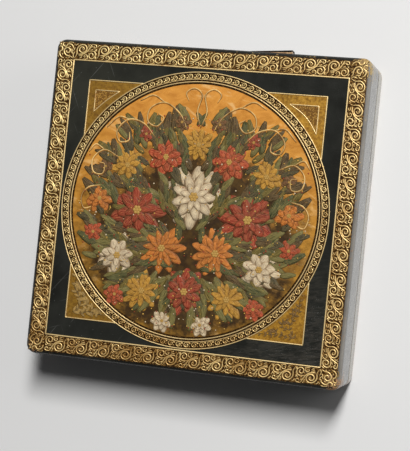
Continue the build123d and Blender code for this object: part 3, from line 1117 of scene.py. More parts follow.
class BOX_OT_base_leather(bpy.types.Operator):
    """Leather round the base, turned over its rim, and the sheet under the bottom"""
    bl_idname = "leather_box.base_leather"
    bl_label = "Base leather"

    def execute(self, context):
        amount = context.scene.box_leather.wobble
        mesh = with_hinge_room(skin_mesh("base_leather", base_rounds(), True, amount), 1)
        obj = piece("base_leather", mesh, ("tooled_leather", "side_leather"), "base",
                    ("base_side_leather",))
        polish_sides(obj.data, seam_z)
        dress("base_bottom_leather", "tooled_leather")
        return {"FINISHED"}


def dress(node, finish):
    """Gives a CAD node its material."""
    obj = frame["nodes"][node]
    if not obj.material_slots:
        obj.data.materials.append(None)
    for held in obj.material_slots:
        held.material = finish_named(finish)


# Border of scrolls

# A stroke is its points and its width; a drop is x, y, length, width and turn. Lengths are in millimetres
SCROLL_STROKES = (
    (((-0.2, 0.2), (0.85, 1.55), (1.5, 3.1), (1.3, 5.2), (1.7, 6.9), (3.0, 8.3), (4.7, 8.9),
      (6.6, 8.55), (7.7, 7.1), (7.45, 5.4), (6.2, 4.3), (4.6, 4.0), (3.2, 4.9), (3.0, 6.2),
      (3.8, 7.3), (5.1, 7.4), (6.0, 6.5), (5.5, 5.5), (4.6, 5.8)), 0.92),
    (((2.2, 2.8), (3.4, 2.8), (6.0, 3.3), (8.2, 4.9), (9.4, 6.6), (10.6, 8.6), (11.0, 9.5)), 1.0),
    (((8.5, 4.8), (10.6, 5.2), (12.8, 5.0), (13.8, 3.2), (13.0, 1.2), (11.3, 0.5), (9.8, 1.2),
      (9.6, 2.7), (10.6, 3.9), (11.9, 3.5), (12.2, 2.4), (11.3, 1.9)), 0.85),
    (((5.6, 0.3), (7.6, 0.0), (8.7, 1.2), (8.1, 2.5), (6.9, 2.6), (6.3, 1.6), (7.0, 0.9)), 0.7),
    (((11.0, 9.4), (12.1, 9.4), (13.7, 9.0), (13.9, 7.9), (13.1, 7.2), (12.2, 7.7), (12.6, 8.5)),
      0.75),
    (((-0.2, 0.2), (-0.9, 1.5), (-0.7, 3.0), (0.0, 4.2)), 0.7),
    (((9.9, 6.0), (10.9, 5.9), (11.9, 6.6)), 0.6),
    (((8.5, 7.2), (9.0, 8.2), (8.6, 9.3)), 0.65),
    (((10.1, 7.4), (11.1, 7.7), (11.5, 8.5)), 0.55),
    (((2.5, 1.8), (3.9, 1.8), (5.4, 2.5)), 0.65),
    (((3.1, 0.3), (4.3, 0.7), (5.0, 1.5)), 0.6),
    (((-1.2, 4.6), (-0.5, 5.6), (-0.2, 7.0)), 0.65),
    (((0.1, 7.7), (0.8, 8.7), (2.0, 9.3)), 0.65),
    (((12.6, 6.0), (13.4, 6.0), (14.0, 5.2)), 0.6),
    (((13.3, 0.2), (14.1, 0.9), (14.4, 2.0)), 0.6),
)
SCROLL_DROPS = (
    (9.6, 9.2, 1.1, 0.7, 2.2), (7.4, 1.5, 0.7, 0.6, 0.0), (-0.5, 8.6, 0.9, 0.7, 0.7),
    (9.2, 3.5, 0.8, 0.6, 0.0), (4.9, 6.5, 0.7, 0.6, 0.0), (8.9, 0.3, 0.8, 0.6, 0.4),
)
CORNER_STROKES = (
    (((0.4, 0.2), (1.6, 2.0), (2.0, 4.4), (3.1, 6.3), (5.2, 7.2), (7.1, 6.3), (7.6, 4.4),
      (6.5, 2.9), (4.8, 3.0), (4.1, 4.3), (4.9, 5.5), (6.0, 5.0)), 1.15),
    (((6.9, 0.2), (8.9, 1.0), (10.2, 2.9), (9.9, 5.0), (8.4, 5.9), (8.9, 7.9), (10.4, 8.3),
      (11.2, 7.0)), 1.05),
    (((0.2, 6.9), (1.0, 8.9), (2.9, 10.3), (5.0, 9.9), (5.9, 8.4), (7.9, 8.9), (8.4, 10.4),
      (7.1, 11.2)), 1.05),
    (((10.9, 0.4), (11.6, 1.8), (11.5, 3.6), (10.9, 5.0)), 0.9),
    (((0.4, 10.9), (1.8, 11.6), (3.6, 11.5), (5.0, 10.9)), 0.9),
    (((3.2, 0.6), (4.6, 1.4), (6.2, 1.5), (7.0, 2.2)), 0.85),
)
CORNER_DROPS = (
    (9.9, 9.9, 2.0, 1.5, 0.8), (0.9, 3.2, 1.4, 0.9, 1.4), (3.0, 8.3, 1.6, 0.9, 0.3),
    (8.4, 3.2, 1.5, 0.9, 1.2), (11.2, 11.0, 1.0, 0.9, 0.0), (5.5, 0.6, 1.1, 0.8, 0.0),
    (0.6, 5.3, 1.1, 0.8, 1.5),
)


# Inset of the foot of the scrolls, and the size of the corner motif
SCROLL_INSET = 12.15 * MM
CORNER_SIZE = 0.90


def motif_mesh(name, strokes, drops, height, steps=3, section=ROUND_BACK, sides=9):
    """Raised strokes and drops of one motif, given in millimetres."""
    shape = Shape()
    for points, width in strokes:
        shape.add(*ridge(smooth_path(points, steps), width, height, section=section))
    for x, y, length, width, turn in drops:
        shape.add(*mound((x, y), length, width, turn, height * 0.85, sides))
    shape.vertices = [vertex * MM for vertex in shape.vertices]
    return shape.mesh(name)


def gilt_piece(name, motif, places, finish, unevenness, seed):
    """Makes the piece that holds one gilt motif at every place on the lid."""
    mesh = laid_on_lid(repeated(name, motif, places, finish, unevenness, seed))
    piece(name, mesh, finish, "lid")


class BOX_OT_scroll_border(bpy.types.Operator):
    """Gilt scrolls round the edge of the lid"""
    bl_idname = "leather_box.scroll_border"
    bl_label = "Scroll border"

    def execute(self, context):
        count = context.scene.box_gilt.scrolls
        runs = []
        corners = []
        for quarter in range(4):
            turn = quarter * math.pi / 2
            across, along = (half_x, half_y) if quarter % 2 == 0 else (half_y, half_x)
            rotation = Matrix.Rotation(turn, 3, "Z")
            length = 2 * (across - FRAME_INSET)
            for index in range(count):
                place = rotation @ Vector((-length / 2 + index * length / count, along - SCROLL_INSET, 0.0))
                runs.append((place.x, place.y + centre_y, ground_z, turn, 1.0))
            place = rotation @ Vector((across - FRAME_INSET + 0.4 * MM, along - SCROLL_INSET, 0.0))
            corners.append((place.x, place.y + centre_y, ground_z, turn, CORNER_SIZE))
        scroll = motif_mesh("scroll", SCROLL_STROKES, SCROLL_DROPS, 0.62)
        gilt_piece("scroll_border", scroll, runs, "gold_leaf", 0.02, 3)
        corner = motif_mesh("corner_scroll", CORNER_STROKES, CORNER_DROPS, 0.62)
        gilt_piece("scroll_corners", corner, corners, "gold_leaf", 0.0, 3)
        return {"FINISHED"}


# Ring and plain lines

WAVE_STROKES = (
    (((-2.7, -1.3), (-0.9, -1.4), (0.8, -1.2), (1.55, -0.25), (1.3, 0.9), (0.3, 1.4), (-0.75, 1.05),
      (-1.1, 0.1), (-0.5, -0.55), (0.2, -0.4)), 0.78),
)
WAVE_DROPS = (
    (0.25, 0.35, 1.0, 1.0, 0.0), (-2.05, -0.72, 1.9, 1.25, 0.3), (-1.95, 1.05, 1.2, 0.7, 0.9),
)
# Middles of the running wave and of the line of beads
WAVE_RADIUS = 81.75 * MM
BEAD_RADIUS = 78.45 * MM
# Radius, width and height of each fillet, in millimetres
FILLETS = ((84.3, 0.72, 0.66), (79.95, 0.42, 0.5), (78.45, 0.7, 0.5))


def circle_path(radius, steps=240):
    """Points round the middle of the ring."""
    return [on_circle(radius, math.tau * index / steps) for index in range(steps)]


def round_ring(count, radius, turn=0.0):
    """Places evenly round the ring, each turned to follow it."""
    places = []
    for index in range(count):
        angle = math.tau * index / count
        place = on_circle(radius, angle)
        places.append((place.x, place.y, ground_z, angle + turn, 1.0))
    return places


def frame_path():
    """Points round the square frame line, close together at its corners."""
    steps = 40
    x = half_x - FRAME_INSET
    y = half_y - FRAME_INSET
    corners = [Vector((-x, -y, 0)), Vector((x, -y, 0)), Vector((x, y, 0)), Vector((-x, y, 0))]
    shares = [0.0, 0.002] + [step / steps for step in range(1, steps)] + [0.998]
    path = []
    for corner, following in zip(corners, corners[1:] + corners[:1]):
        path += [corner.lerp(following, share) + Vector((0, centre_y, ground_z)) for share in shares]
    return path


class BOX_OT_ring(bpy.types.Operator):
    """Gilt ring: three fillets, a running wave between the outer two and beads on the inner one"""
    bl_idname = "leather_box.ring"
    bl_label = "Ring"

    def execute(self, context):
        gilt = context.scene.box_gilt
        lines = Shape()
        for radius, width, height in FILLETS:
            path = circle_path(radius * MM)
            lines.add(*ridge(path, width * MM, height * MM, section=FLAT_BACK, closed=True))
        on_lid("ring_fillets", lines, "pale_gold")
        wave = motif_mesh("wave", WAVE_STROKES, WAVE_DROPS, 0.55, 2, PLAIN_BACK, 6)
        places = round_ring(gilt.waves, WAVE_RADIUS, -math.pi / 2)
        gilt_piece("ring_waves", wave, places, "gold_leaf", 0.03, 7)
        bead = motif_mesh("bead", (), ((0.0, 0.0, 0.95, 0.95, 0.0),), 0.62, sides=6)
        gilt_piece("ring_beads", bead, round_ring(gilt.beads, BEAD_RADIUS), "pale_gold", 0.15, 11)
        return {"FINISHED"}


def panel_corner(x_sign, y_sign, inset=0.0):
    """Outer corner of a corner panel."""
    far = PANEL_INSET + inset
    return Vector((x_sign * (half_x - far), centre_y + y_sign * (half_y - far), ground_z))


def leg_end(corner, along_x, radius):
    """Where a panel's straight edge meets the circle of that radius."""
    offset = corner - ring_middle
    if along_x:
        reach = math.sqrt(max(radius ** 2 - offset.y ** 2, 0.0))
        return Vector((ring_middle.x + math.copysign(reach, offset.x), corner.y, ground_z))
    reach = math.sqrt(max(radius ** 2 - offset.x ** 2, 0.0))
    return Vector((corner.x, ring_middle.y + math.copysign(reach, offset.y), ground_z))


def divided(start, end, steps):
    return [start.lerp(end, step / steps) for step in range(steps + 1)]


def panel_outline(x_sign, y_sign, inset, radius):
    """Closed outline of a panel: both straight legs, then the arc beside the ring."""
    leg_steps = 20
    arc_steps = 30
    corner = panel_corner(x_sign, y_sign, inset)
    first = leg_end(corner, True, radius)
    last = leg_end(corner, False, radius)
    start = math.atan2(last.y - ring_middle.y, last.x - ring_middle.x)
    end = math.atan2(first.y - ring_middle.y, first.x - ring_middle.x)
    arc = [on_circle(radius, start + (end - start) * step / arc_steps) for step in range(1, arc_steps)]
    return divided(first, corner, leg_steps)[:-1] + divided(corner, last, leg_steps) + arc


# Signs of x and y at each corner
QUARTERS = ((-1, 1), (1, 1), (1, -1), (-1, -1))


class BOX_OT_gilt_lines(bpy.types.Operator):
    """Plain gilt lines: the square frame, the panel borders and the small triangles"""
    bl_idname = "leather_box.gilt_lines"
    bl_label = "Gilt lines"

    def execute(self, context):
        lines = Shape()
        lines.add(*ridge(frame_path(), 0.95 * MM, 0.6 * MM, section=FLAT_BACK, closed=True))
        for x_sign, y_sign in QUARTERS:
            corner = panel_corner(x_sign, y_sign)
            legs = divided(leg_end(corner, True, RING_RADIUS), corner, 30)
            legs += divided(corner, leg_end(corner, False, RING_RADIUS), 30)[1:]
            lines.add(*ridge(legs, 0.8 * MM, 0.55 * MM, 0, FLAT_BACK))
            if y_sign > 0:
                triangle = triangle_path(x_sign)
                lines.add(*ridge(triangle, 0.7 * MM, 0.5 * MM, section=FLAT_BACK, closed=True))
        on_lid("gilt_lines", lines, "pale_gold")
        return {"FINISHED"}


def triangle_path(x_sign):
    """Outline of the small triangle in a back panel, its long side curved beside the ring on the right."""
    corner = panel_corner(x_sign, 1) + Vector((-x_sign * 4.6 * MM, -6.0 * MM, 0.0))
    width, depth = (15.6 * MM, 13.5 * MM) if x_sign < 0 else (18.0 * MM, 17.0 * MM)
    far = corner + Vector((-x_sign * width, 0, 0))
    low = corner + Vector((0, -depth, 0))
    bow = Vector((x_sign, 1, 0)).normalized() * (0.6 * MM if x_sign < 0 else 2.2 * MM)
    slanted = []
    for step in range(1, 16):
        share = step / 16
        slanted.append(low.lerp(far, share) + bow * math.sin(math.pi * share))
    return divided(far, corner, 12) + divided(corner, low, 12)[1:] + slanted


def slab(outline, thickness):
    """A thin flat-topped piece over an outline."""
    top = [point + Vector((0, 0, thickness)) for point in outline]
    bottom = [point - Vector((0, 0, 0.05 * MM)) for point in outline]
    return prism(top, bottom)


# Stems in a front panel, as points measured in from its outer corner, in millimetres
SPRAY_STEMS = (
    ((3.2, 3.2), (7.0, 5.5), (9.0, 10.0), (7.0, 14.5), (4.2, 19.0), (4.4, 24.5), (3.4, 30.0)),
    ((5.0, 4.0), (10.0, 3.4), (15.0, 5.0), (20.0, 3.8), (26.0, 4.0), (31.0, 3.0)),
    ((8.5, 8.0), (13.0, 9.0), (13.6, 12.0), (11.2, 13.2), (10.4, 11.5)),
    ((5.5, 16.0), (8.3, 17.4), (7.2, 20.8), (5.8, 20.0)),
    ((16.0, 4.8), (18.2, 7.6), (20.8, 6.8), (20.0, 5.6)),
)


def painted_ridge(path, width, height, colour, lift=0.0):
    """A raised stroke of one colour on the lid, in millimetres: vertices, faces, paint and strokes."""
    vertices, faces = ridge(path, width, height)
    vertices = [ring_middle + MM * (vertex + Vector((0, 0, lift))) for vertex in vertices]
    return vertices, faces, [colour] * len(vertices), [(0.1 * vertex.x / MM, 0.5) for vertex in vertices]


def add_spray(shape, x_sign, light, dark, leaf, chance):
    """Curling stems with small leaves in a front panel."""
    corner = (panel_corner(x_sign, -1) - ring_middle) / MM
    for stem in SPRAY_STEMS:
        path = [Vector((corner.x - x_sign * p.x, corner.y + p.y, 0.0)) for p in smooth_path(stem, 5)]
        shape.add(*painted_ridge(path, 0.14 * leaf, 0.36, dark))
        for index in range(2, len(path) - 1, 3):
            ahead = path[index + 1] - path[index - 1]
            for side in (-1, 1):
                turn = math.atan2(ahead.y, ahead.x) + side * chance.uniform(0.55, 1.05)
                size = leaf * chance.uniform(0.7, 1.15)
                tip = path[index] + size * Vector((math.cos(turn), math.sin(turn), 0.0))
                beside_ring = tip.length < RING_RADIUS / MM + 1.0
                over_edge = abs(tip.x) > abs(corner.x) - 1.0 or abs(tip.y) > abs(corner.y) - 1.0
                if beside_ring or over_edge:
                    continue
                item = petal(size, 0.5 * size, 0.26, scaled(light, chance.uniform(0.6, 1.1)), dark)
                shape.add(*placed(item, path[index].x, path[index].y, 0.12, turn))


class BOX_OT_corner_panels(bpy.types.Operator):
    """Ochre panels in the four corners, with leafy sprays in low relief in the front ones"""
    bl_idname = "leather_box.corner_panels"
    bl_label = "Corner panels"

    def execute(self, context):
        fields = Shape()
        grains = Shape()
        for x_sign, y_sign in QUARTERS:
            outline = panel_outline(x_sign, y_sign, 0.2 * MM, RING_RADIUS + 0.2 * MM)
            fields.add(*slab(outline, 0.16 * MM))
            if y_sign > 0:
                grains.add(*slab(triangle_path(x_sign), 0.26 * MM))
        on_lid("corner_panels", fields, "panel_paint", smooth=False)
        on_lid("corner_grains", grains, "dark_grain", smooth=False)
        sprays = Shape()
        chance = random.Random(21)
        add_spray(sprays, -1, tone(196, 158, 84), tone(52, 34, 16), 4.4, chance)
        add_spray(sprays, 1, tone(132, 92, 36), tone(36, 22, 10), 2.5, chance)
        on_lid("corner_sprays", sprays, "painted_relief")
        return {"FINISHED"}


# Picture: a generic spray of flowers

# Light and dark tone of each paint
CRIMSON = (tone(166, 14, 20), tone(48, 3, 8))
IVORY = (tone(238, 220, 184), tone(120, 78, 40))
ORANGE = (tone(222, 124, 36), tone(104, 34, 10))
GOLD = (tone(214, 156, 46), tone(96, 50, 10))
ROSE = (tone(196, 58, 32), tone(78, 12, 10))
BROWN = (tone(104, 56, 32), tone(30, 15, 10))
LEAF_TONES = (
    tone(44, 70, 34), tone(20, 38, 28), tone(98, 90, 26), tone(54, 34, 16), tone(112, 112, 58),
)

# x, y, radius, colours and petals of the flowers on the middle line and on its right, in millimetres
FLOWERS = (
    (0, 8, 19, IVORY, 10), (35, -3, 18, CRIMSON, 9), (17, -25, 15, ORANGE, 12), (0, -50, 15, CRIMSON, 9),
    (45, -32, 14, IVORY, 8), (27, -52, 13, GOLD, 11), (20, 31, 12, ROSE, 8), (0, 40, 10, GOLD, 10),
    (44, 24, 11, GOLD, 9), (60, 2, 9, ORANGE, 7), (12, -69, 7, IVORY, 7), (34, 44, 6, CRIMSON, 7),
    (12, 53, 6, BROWN, 7), (62, -19, 7, ROSE, 7), (58, 22, 5, BROWN, 6), (44, -56, 7, ROSE, 7),
)


def petal(length, width, height, light, dark):
    """A petal or leaf along +X from the origin, in millimetres: vertices, faces, paint and strokes."""
    rows = 6
    columns = 4
    vertices = []
    paint = []
    strokes = []
    for row in range(rows + 1):
        u = row / rows
        spread = width / 2 * math.sin(math.pi * (0.08 + 0.84 * u ** 0.8)) ** 0.8
        swell = 0.35 + 0.65 * math.sin(math.pi * min(1.0, 0.12 + 0.8 * u))
        for column in range(columns + 1):
            v = 2 * column / columns - 1
            lift = height * ((1 - 0.75 * v * v) * swell + 0.25 * v * v)
            vertices.append(Vector((length * u, spread * v, lift)))
            shade = 0.75 * abs(v) ** 3 + 0.35 * (1 - u) ** 2
            paint.append(tuple(a * (1 - shade) + b * shade for a, b in zip(light, dark)))
            strokes.append((u, 0.5 + 0.5 * v))
    vertices += [Vector((vertex.x, vertex.y, -0.12)) for vertex in vertices]
    paint += [dark] * len(paint)
    return vertices, sheet_faces(rows, columns), paint, strokes * 2


def placed(item, x, y, z, turn, shift=0.0):
    """A petal moved out along its own line, turned about the origin, and put on the picture."""
    vertices, faces, paint, strokes = item
    rotation = Matrix.Rotation(turn, 3, "Z")
    moved = []
    for vertex in vertices:
        point = rotation @ (vertex + Vector((shift, 0, 0)))
        moved.append(under_top(ring_middle + MM * (point + Vector((x, y, z)))))
    return moved, faces, paint, [(u + x * 0.37, v + y * 0.41) for u, v in strokes]


def under_top(place):
    """The place, no higher than the paint may stand."""
    return Vector((place.x, place.y, min(place.z, paint_top)))


def inside_spray(x, y, drop, reach, margin):
    """Whether a place lies in an oval below the middle, and inside the picture by a margin."""
    in_oval = math.hypot(x * OVAL, y + drop) <= reach
    return in_oval and inside_picture(x, y, margin)


def inside_picture(x, y, margin):
    return math.hypot(x, y) < PICTURE_RADIUS / MM - margin


# Reach, size and lift of each round of petals, as shares of the flower's radius and in millimetres
PETAL_ROUNDS = ((0.30, 0.72, 0.05), (0.16, 0.60, 0.16), (0.05, 0.44, 0.26))
STAMEN = tone(214, 170, 84)
# Reach of each round of stamens, as a share of the flower's radius, and how many stand in it
STAMEN_ROUNDS = ((0.0, 1), (0.10, 6))


def add_flower(shape, x, y, radius, tones, petals, chance):
    """Rounds of overlapping petals with a button in the middle."""
    light, dark = tones
    for layer, (reach, size, lift) in enumerate(PETAL_ROUNDS):
        count = petals - layer
        start = chance.uniform(0, math.tau)
        for index in range(count):
            turn = start + math.tau * index / count + chance.uniform(-0.1, 0.1)
            length = radius * size * chance.uniform(0.92, 1.06)
            width = math.tau * radius * (reach + 0.5 * size) / count * 1.15
            item = petal(length, width, 0.2, scaled(light, chance.uniform(0.82, 1.12)), dark)
            shape.add(*placed(item, x, y, lift, turn, radius * reach))
    for ring, amount in STAMEN_ROUNDS:
        for index in range(amount):
            angle = math.tau * index / amount
            centre = (ring * radius * math.cos(angle), ring * radius * math.sin(angle))
            vertices, faces = mound(centre, 0.13 * radius, 0.13 * radius, 0, 0.2, 7)
            foot = Vector((x, y, 0.46))
            vertices = [under_top(ring_middle + MM * (Vector(v) + foot)) for v in vertices]
            shape.add(vertices, faces, [STAMEN] * len(vertices), [(0.5, 0.5)] * len(vertices))


# Curls of the tendrils on the right, as points measured from the picture's middle, in millimetres
TENDRILS = (
    ((8, 48), (14, 58), (24, 64), (33, 60), (34, 52), (28, 49), (24, 54), (28, 57)),
    ((24, 64), (32, 68), (40, 64)),
    ((28, 42), (36, 50), (46, 52), (53, 45), (51, 38), (45, 39), (45, 44)),
    ((46, 52), (53, 53), (60, 46)),
    ((50, 28), (60, 32), (67, 26), (66, 18), (60, 17), (59, 23), (63, 24)),
    ((60, 32), (66, 35), (70, 30)),
    ((0, 50), (3, 60), (1, 70), (6, 74), (11, 71), (9, 66)),
    ((60, 10), (68, 8), (72, 2), (70, -5), (65, -4)),
)
# Width, height, colour and shift to the back of the two coats of paint in a tendril, in millimetres
TENDRIL_COATS = ((1.25, 0.34, tone(176, 112, 36), 0.0), (0.75, 0.44, tone(252, 216, 140), 0.3))


class BOX_OT_picture_ground(bpy.types.Operator):
    """Ochre ground of the picture, with curling tendrils raised in it"""
    bl_idname = "leather_box.picture_ground"
    bl_label = "Picture ground"

    def execute(self, context):
        ground = Shape()
        ground.add(*slab(circle_path(PICTURE_RADIUS, 120), 0.14 * MM))
        on_lid("picture_ground", ground, "ground_paint", smooth=False)
        tendrils = Shape()
        for curl in TENDRILS:
            for sign in (-1, 1):
                path = [Vector((sign * point.x, point.y, 0.0)) for point in smooth_path(curl, 5)]
                for width, height, colour, shift in TENDRIL_COATS:
                    shifted = [point + Vector((0, shift, 0)) for point in path]
                    tendrils.add(*painted_ridge(shifted, width, height, colour, 0.1))
        on_lid("picture_tendrils", tendrils, "painted_relief")
        return {"FINISHED"}


def painted_leaves(tries, chance):
    """Leaves in mirrored pairs, pointing out from below the middle, where they fall inside the spray."""
    leaves = Shape()
    for index in range(tries):
        x = chance.uniform(2, 74)
        y = chance.uniform(-74, 54)
        if not inside_spray(x, y, 22, 76, 3):
            continue
        turn = math.atan2(y + 30, x) + chance.uniform(-0.7, 0.7)
        length = chance.uniform(9, 17)
        if not inside_picture(x + length * math.cos(turn), y + length * math.sin(turn), 1.5):
            continue
        tint = chance.choice(LEAF_TONES)
        for sign in (-1, 1):
            item = petal(length, length * chance.uniform(0.3, 0.42), 0.18, tint, scaled(tint, 0.22))
            leaves.add(*placed(item, sign * x, y, 0.1, turn if sign > 0 else math.pi - turn))
    return leaves


# Name, colour and number of each kind of berry
BERRIES = (
    ("gold", tone(232, 186, 84), 300),
    ("ivory", tone(240, 224, 190), 100),
    ("crimson", tone(170, 24, 28), 170),
)


def berry_places(amount, chance):
    """Places of berries in mirrored pairs inside the spray."""
    places = []
    while len(places) < amount:
        x = chance.uniform(0, 74)
        y = chance.uniform(-74, 60)
        if not inside_spray(x, y, 20, 80, 2):
            continue
        for sign in (-1, 1):
            place = ring_middle + MM * Vector((sign * x, y, 0.3))
            places.append((*place, 0.0, chance.uniform(0.6, 1.1)))
    return places


class BOX_OT_flowers(bpy.types.Operator):
    """Painted flowers, leaves and berries in low relief"""
    bl_idname = "leather_box.flowers"
    bl_label = "Flowers"

    def execute(self, context):
        picture = context.scene.box_picture
        chance = random.Random(picture.seed)
        on_lid("picture_leaves", painted_leaves(picture.leaves, chance), "painted_relief")
        flowers = Shape()
        for x, y, radius, tones, petals in sorted(FLOWERS, key=lambda flower: flower[2]):
            for sign in ((-1, 1) if x else (1,)):
                add_flower(flowers, sign * x, y, radius, tones, petals, chance)
        on_lid("picture_flowers", flowers, "painted_relief")
        for name, tint, amount in BERRIES:
            places = berry_places(amount, chance)
            berry = motif_mesh("berry", (), ((0.0, 0.0, 1.2, 1.2, 0.0),), 0.36, sides=7)
            colour = berry.color_attributes.new("paint", "FLOAT_COLOR", "POINT")
            for item in colour.data:
                item.color = (*tint, 1.0)
            mesh = repeated("berries_" + name, berry, places, "painted_relief", 0.2, 5)
            piece("berries_" + name, mesh, "painted_relief", "lid")
        return {"FINISHED"}


# Torn strip

def tongue(low, high, inner, outer, drop, rough):
    """Part of the wedge that stands off the back, between two shares of its depth: vertices and faces."""
    along = 36
    upward = 10
    vertices = []
    for depth in (inner, outer):
        for i in range(along + 1):
            u = i / along
            reach = (high.y - low.y) * (0.06 + 0.94 * u ** 1.1)
            for j in range(upward + 1):
                v = j / upward
                x = low.x + (high.x - low.x) * u
                rise = v * (0.55 + 0.45 * min(1.0, 4 * u)) + 0.22 * (1 - min(1.0, 3 * u))
                z = low.z + (high.z - low.z) * rise
                y = low.y - 0.25 * MM + reach * depth * 0.93
                y += rough * noise.noise(Vector((x * 900, depth * 9, z * 900)))
                x -= abs(0.9 * MM * noise.noise(Vector((z * 420, depth * 2, 4.0)))) * u ** 8
                y -= 0.35 * MM * u * depth * (2 * v - 1) ** 2
                vertices.append(Vector((x, min(y, high.y), min(z - drop * v, high.z - 0.02 * MM))))
    return vertices, sheet_faces(along, upward)


class BOX_OT_torn_strip(bpy.types.Operator):
    """Loose tongue of leather at the back of the lid"""
    bl_idname = "leather_box.torn_strip"
    bl_label = "Torn strip"

    def execute(self, context):
        low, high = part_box("lid_peeled_strip")
        flesh = Shape()
        flesh.add(*tongue(low, high, 0.0, 0.66, 0.30 * MM, 0.14 * MM))
        shaped_piece("torn_flesh", flesh, "torn_flesh", "lid", ("lid_peeled_strip",))
        skin = Shape()
        skin.add(*tongue(low, high, 0.54, 1.0, 0.0, 0.05 * MM))
        on_lid("torn_skin", skin, "torn_skin")
        flakes = Shape()
        chance = random.Random(9)
        for index in range(16):
            x = chance.uniform(3, 18) * MM
            z = chance.uniform(33, 41.5) * MM
            size = chance.uniform(0.7, 1.9)
            vertices, faces = mound((0, 0), size, size * 0.5, chance.uniform(-0.6, 0.6), 0.42, 7)
            foot = Vector((x, low.y - 0.1 * MM, z))
            flakes.add([foot + MM * Vector((v[0], v[2], v[1])) for v in vertices], faces)
        on_lid("torn_flakes", flakes, "torn_flesh")
        return {"FINISHED"}


# Linings and cushions

SIDES = ("front", "right", "back", "left")


def silk_strip(name, node, body, room, side, section):
    """Silk over one card, mitred at both ends, with shallow puckers in its face."""
    low_x, low_y, high_x, high_y = room
    corners = (Vector((low_x, low_y, 0)), Vector((high_x, low_y, 0)), Vector((high_x, high_y, 0)),
               Vector((low_x, high_y, 0)))
    start = corners[side]
    end = corners[(side + 1) % 4]
    along = (end - start).normalized()
    inward = Vector((-along.y, along.x, 0.0))
    face_depth = max(depth for depth, height in section) - 0.01 * MM
    steps = 90
    vertices = []
    for step in range(steps + 1):
        for depth, height in section:
            place = (start + along * depth).lerp(end - along * depth, step / steps)
            reach = depth
            if depth > face_depth:
                pucker = noise.noise(Vector((place.x * 260, place.y * 260, height * 60 + side)))
                reach -= 0.14 * MM * (0.5 + 0.5 * pucker)
            vertices.append(place + inward * reach + Vector((0, 0, height)))
    shape = Shape()
    shape.add(vertices, tube_faces(steps + 1, len(section)))
    shaped_piece(name, shape, "woven_silk", body, (node,))


def quarter_arc(depth, height, radius, start):
    """Points of a quarter circle in a section, from a start angle in degrees."""
    steps = 4
    points = []
    for step in range(steps + 1):
        angle = math.radians(start - 90 * step / steps)
        points.append((depth + radius * math.cos(angle), height + radius * math.sin(angle)))
    return points


def room_inside(pattern):
    """The space that the four strips of a set stand round, with their thickness and heights."""
    boxes = [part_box(pattern % side) for side in SIDES]
    low_x = min(low.x for low, high in boxes)
    low_y = min(low.y for low, high in boxes)
    high_x = max(high.x for low, high in boxes)
    high_y = max(high.y for low, high in boxes)
    low, high = boxes[0]
    return (low_x, low_y, high_x, high_y), high.y - low.y, low.z, high.z


class BOX_OT_linings(bpy.types.Operator):
    """Silk-covered lips in the base and linings in the lid"""
    bl_idname = "leather_box.linings"
    bl_label = "Linings"

    def execute(self, context):
        room, thick, low, high = room_inside("base_%s_lip")
        edge = 0.6 * MM
        rim = high - 4.0 * MM
        relief = 0.5 * MM
        lip = [(0.0, low), (0.0, rim), (relief, rim)]
        lip += quarter_arc(relief + edge, high - edge, edge, 180)
        lip += quarter_arc(thick - edge, high - edge, edge, 90)
        lip += [(thick, high - edge + (low - high + edge) * step / 6) for step in range(1, 7)]
        for index, side in enumerate(SIDES):
            silk_strip("base_%s_silk" % side, "base_%s_lip" % side, "base", room, index, lip)
        room, thick, low, high = room_inside("lid_%s_lining")
        edge = 0.35 * MM
        lining = [(0.0, high)] + [(thick, high + (low + edge - high) * step / 5) for step in range(5)]
        lining += quarter_arc(thick - edge, low + edge, edge, 0) + [(0.0, low)]
        for index, side in enumerate(SIDES):
            silk_strip("lid_%s_silk" % side, "lid_%s_lining" % side, "lid", room, index, lining)
        return {"FINISHED"}


# How far the stitches lie inside a pad's edge, and how far apart they are
STITCH_INSET = 2.4 * MM
STITCH_PITCH = 3.1 * MM


def pad_lines(low, high):
    """Places of the grid lines across a pad, close together at its edges."""
    near = [step * MM for step in (0.0, 0.25, 0.6, 1.0, 1.5, 1.9, 2.15, 2.4, 2.65, 2.9, 3.3, 4.0, 5.2, 7.0)]
    middle = 46
    span = high - low - 2 * near[-1]
    inner = [low + near[-1] + span * step / middle for step in range(1, middle)]
    return [low + step for step in near] + inner + [high - step for step in reversed(near)]


def pad_fill(low, high, x, y):
    """Thickness of a pad at a place: rounded edges, a sewn groove near them and a full middle."""
    crown = bpy.context.scene.box_lining.crown
    thickness = high.z - low.z
    rim = min(x - low.x, high.x - x, y - low.y, high.y - y)
    soft = min(1.0, max(0.0, rim) / (2.0 * MM))
    rounded = math.sqrt(max(0.0, 1 - (1 - soft) ** 2))
    u = (x - low.x) / (high.x - low.x)
    v = (y - low.y) / (high.y - low.y)
    middle = max(0.0, math.sin(math.pi * u) * math.sin(math.pi * v)) ** 0.7
    pucker = 0.10 * MM * noise.noise(Vector((x * 120, y * 120, 3.0)))
    gather = 0.07 * MM * noise.noise(Vector((x * 520, y * 520, 8.0)))
    gather *= math.exp(-((rim / (7 * MM)) ** 2))
    groove = 0.32 * MM * math.exp(-(((rim - STITCH_INSET) / (0.45 * MM)) ** 2))
    full = (thickness - crown - 0.1 * MM + crown * middle + pucker + gather - groove) * rounded
    return max(0.0, min(full, thickness))


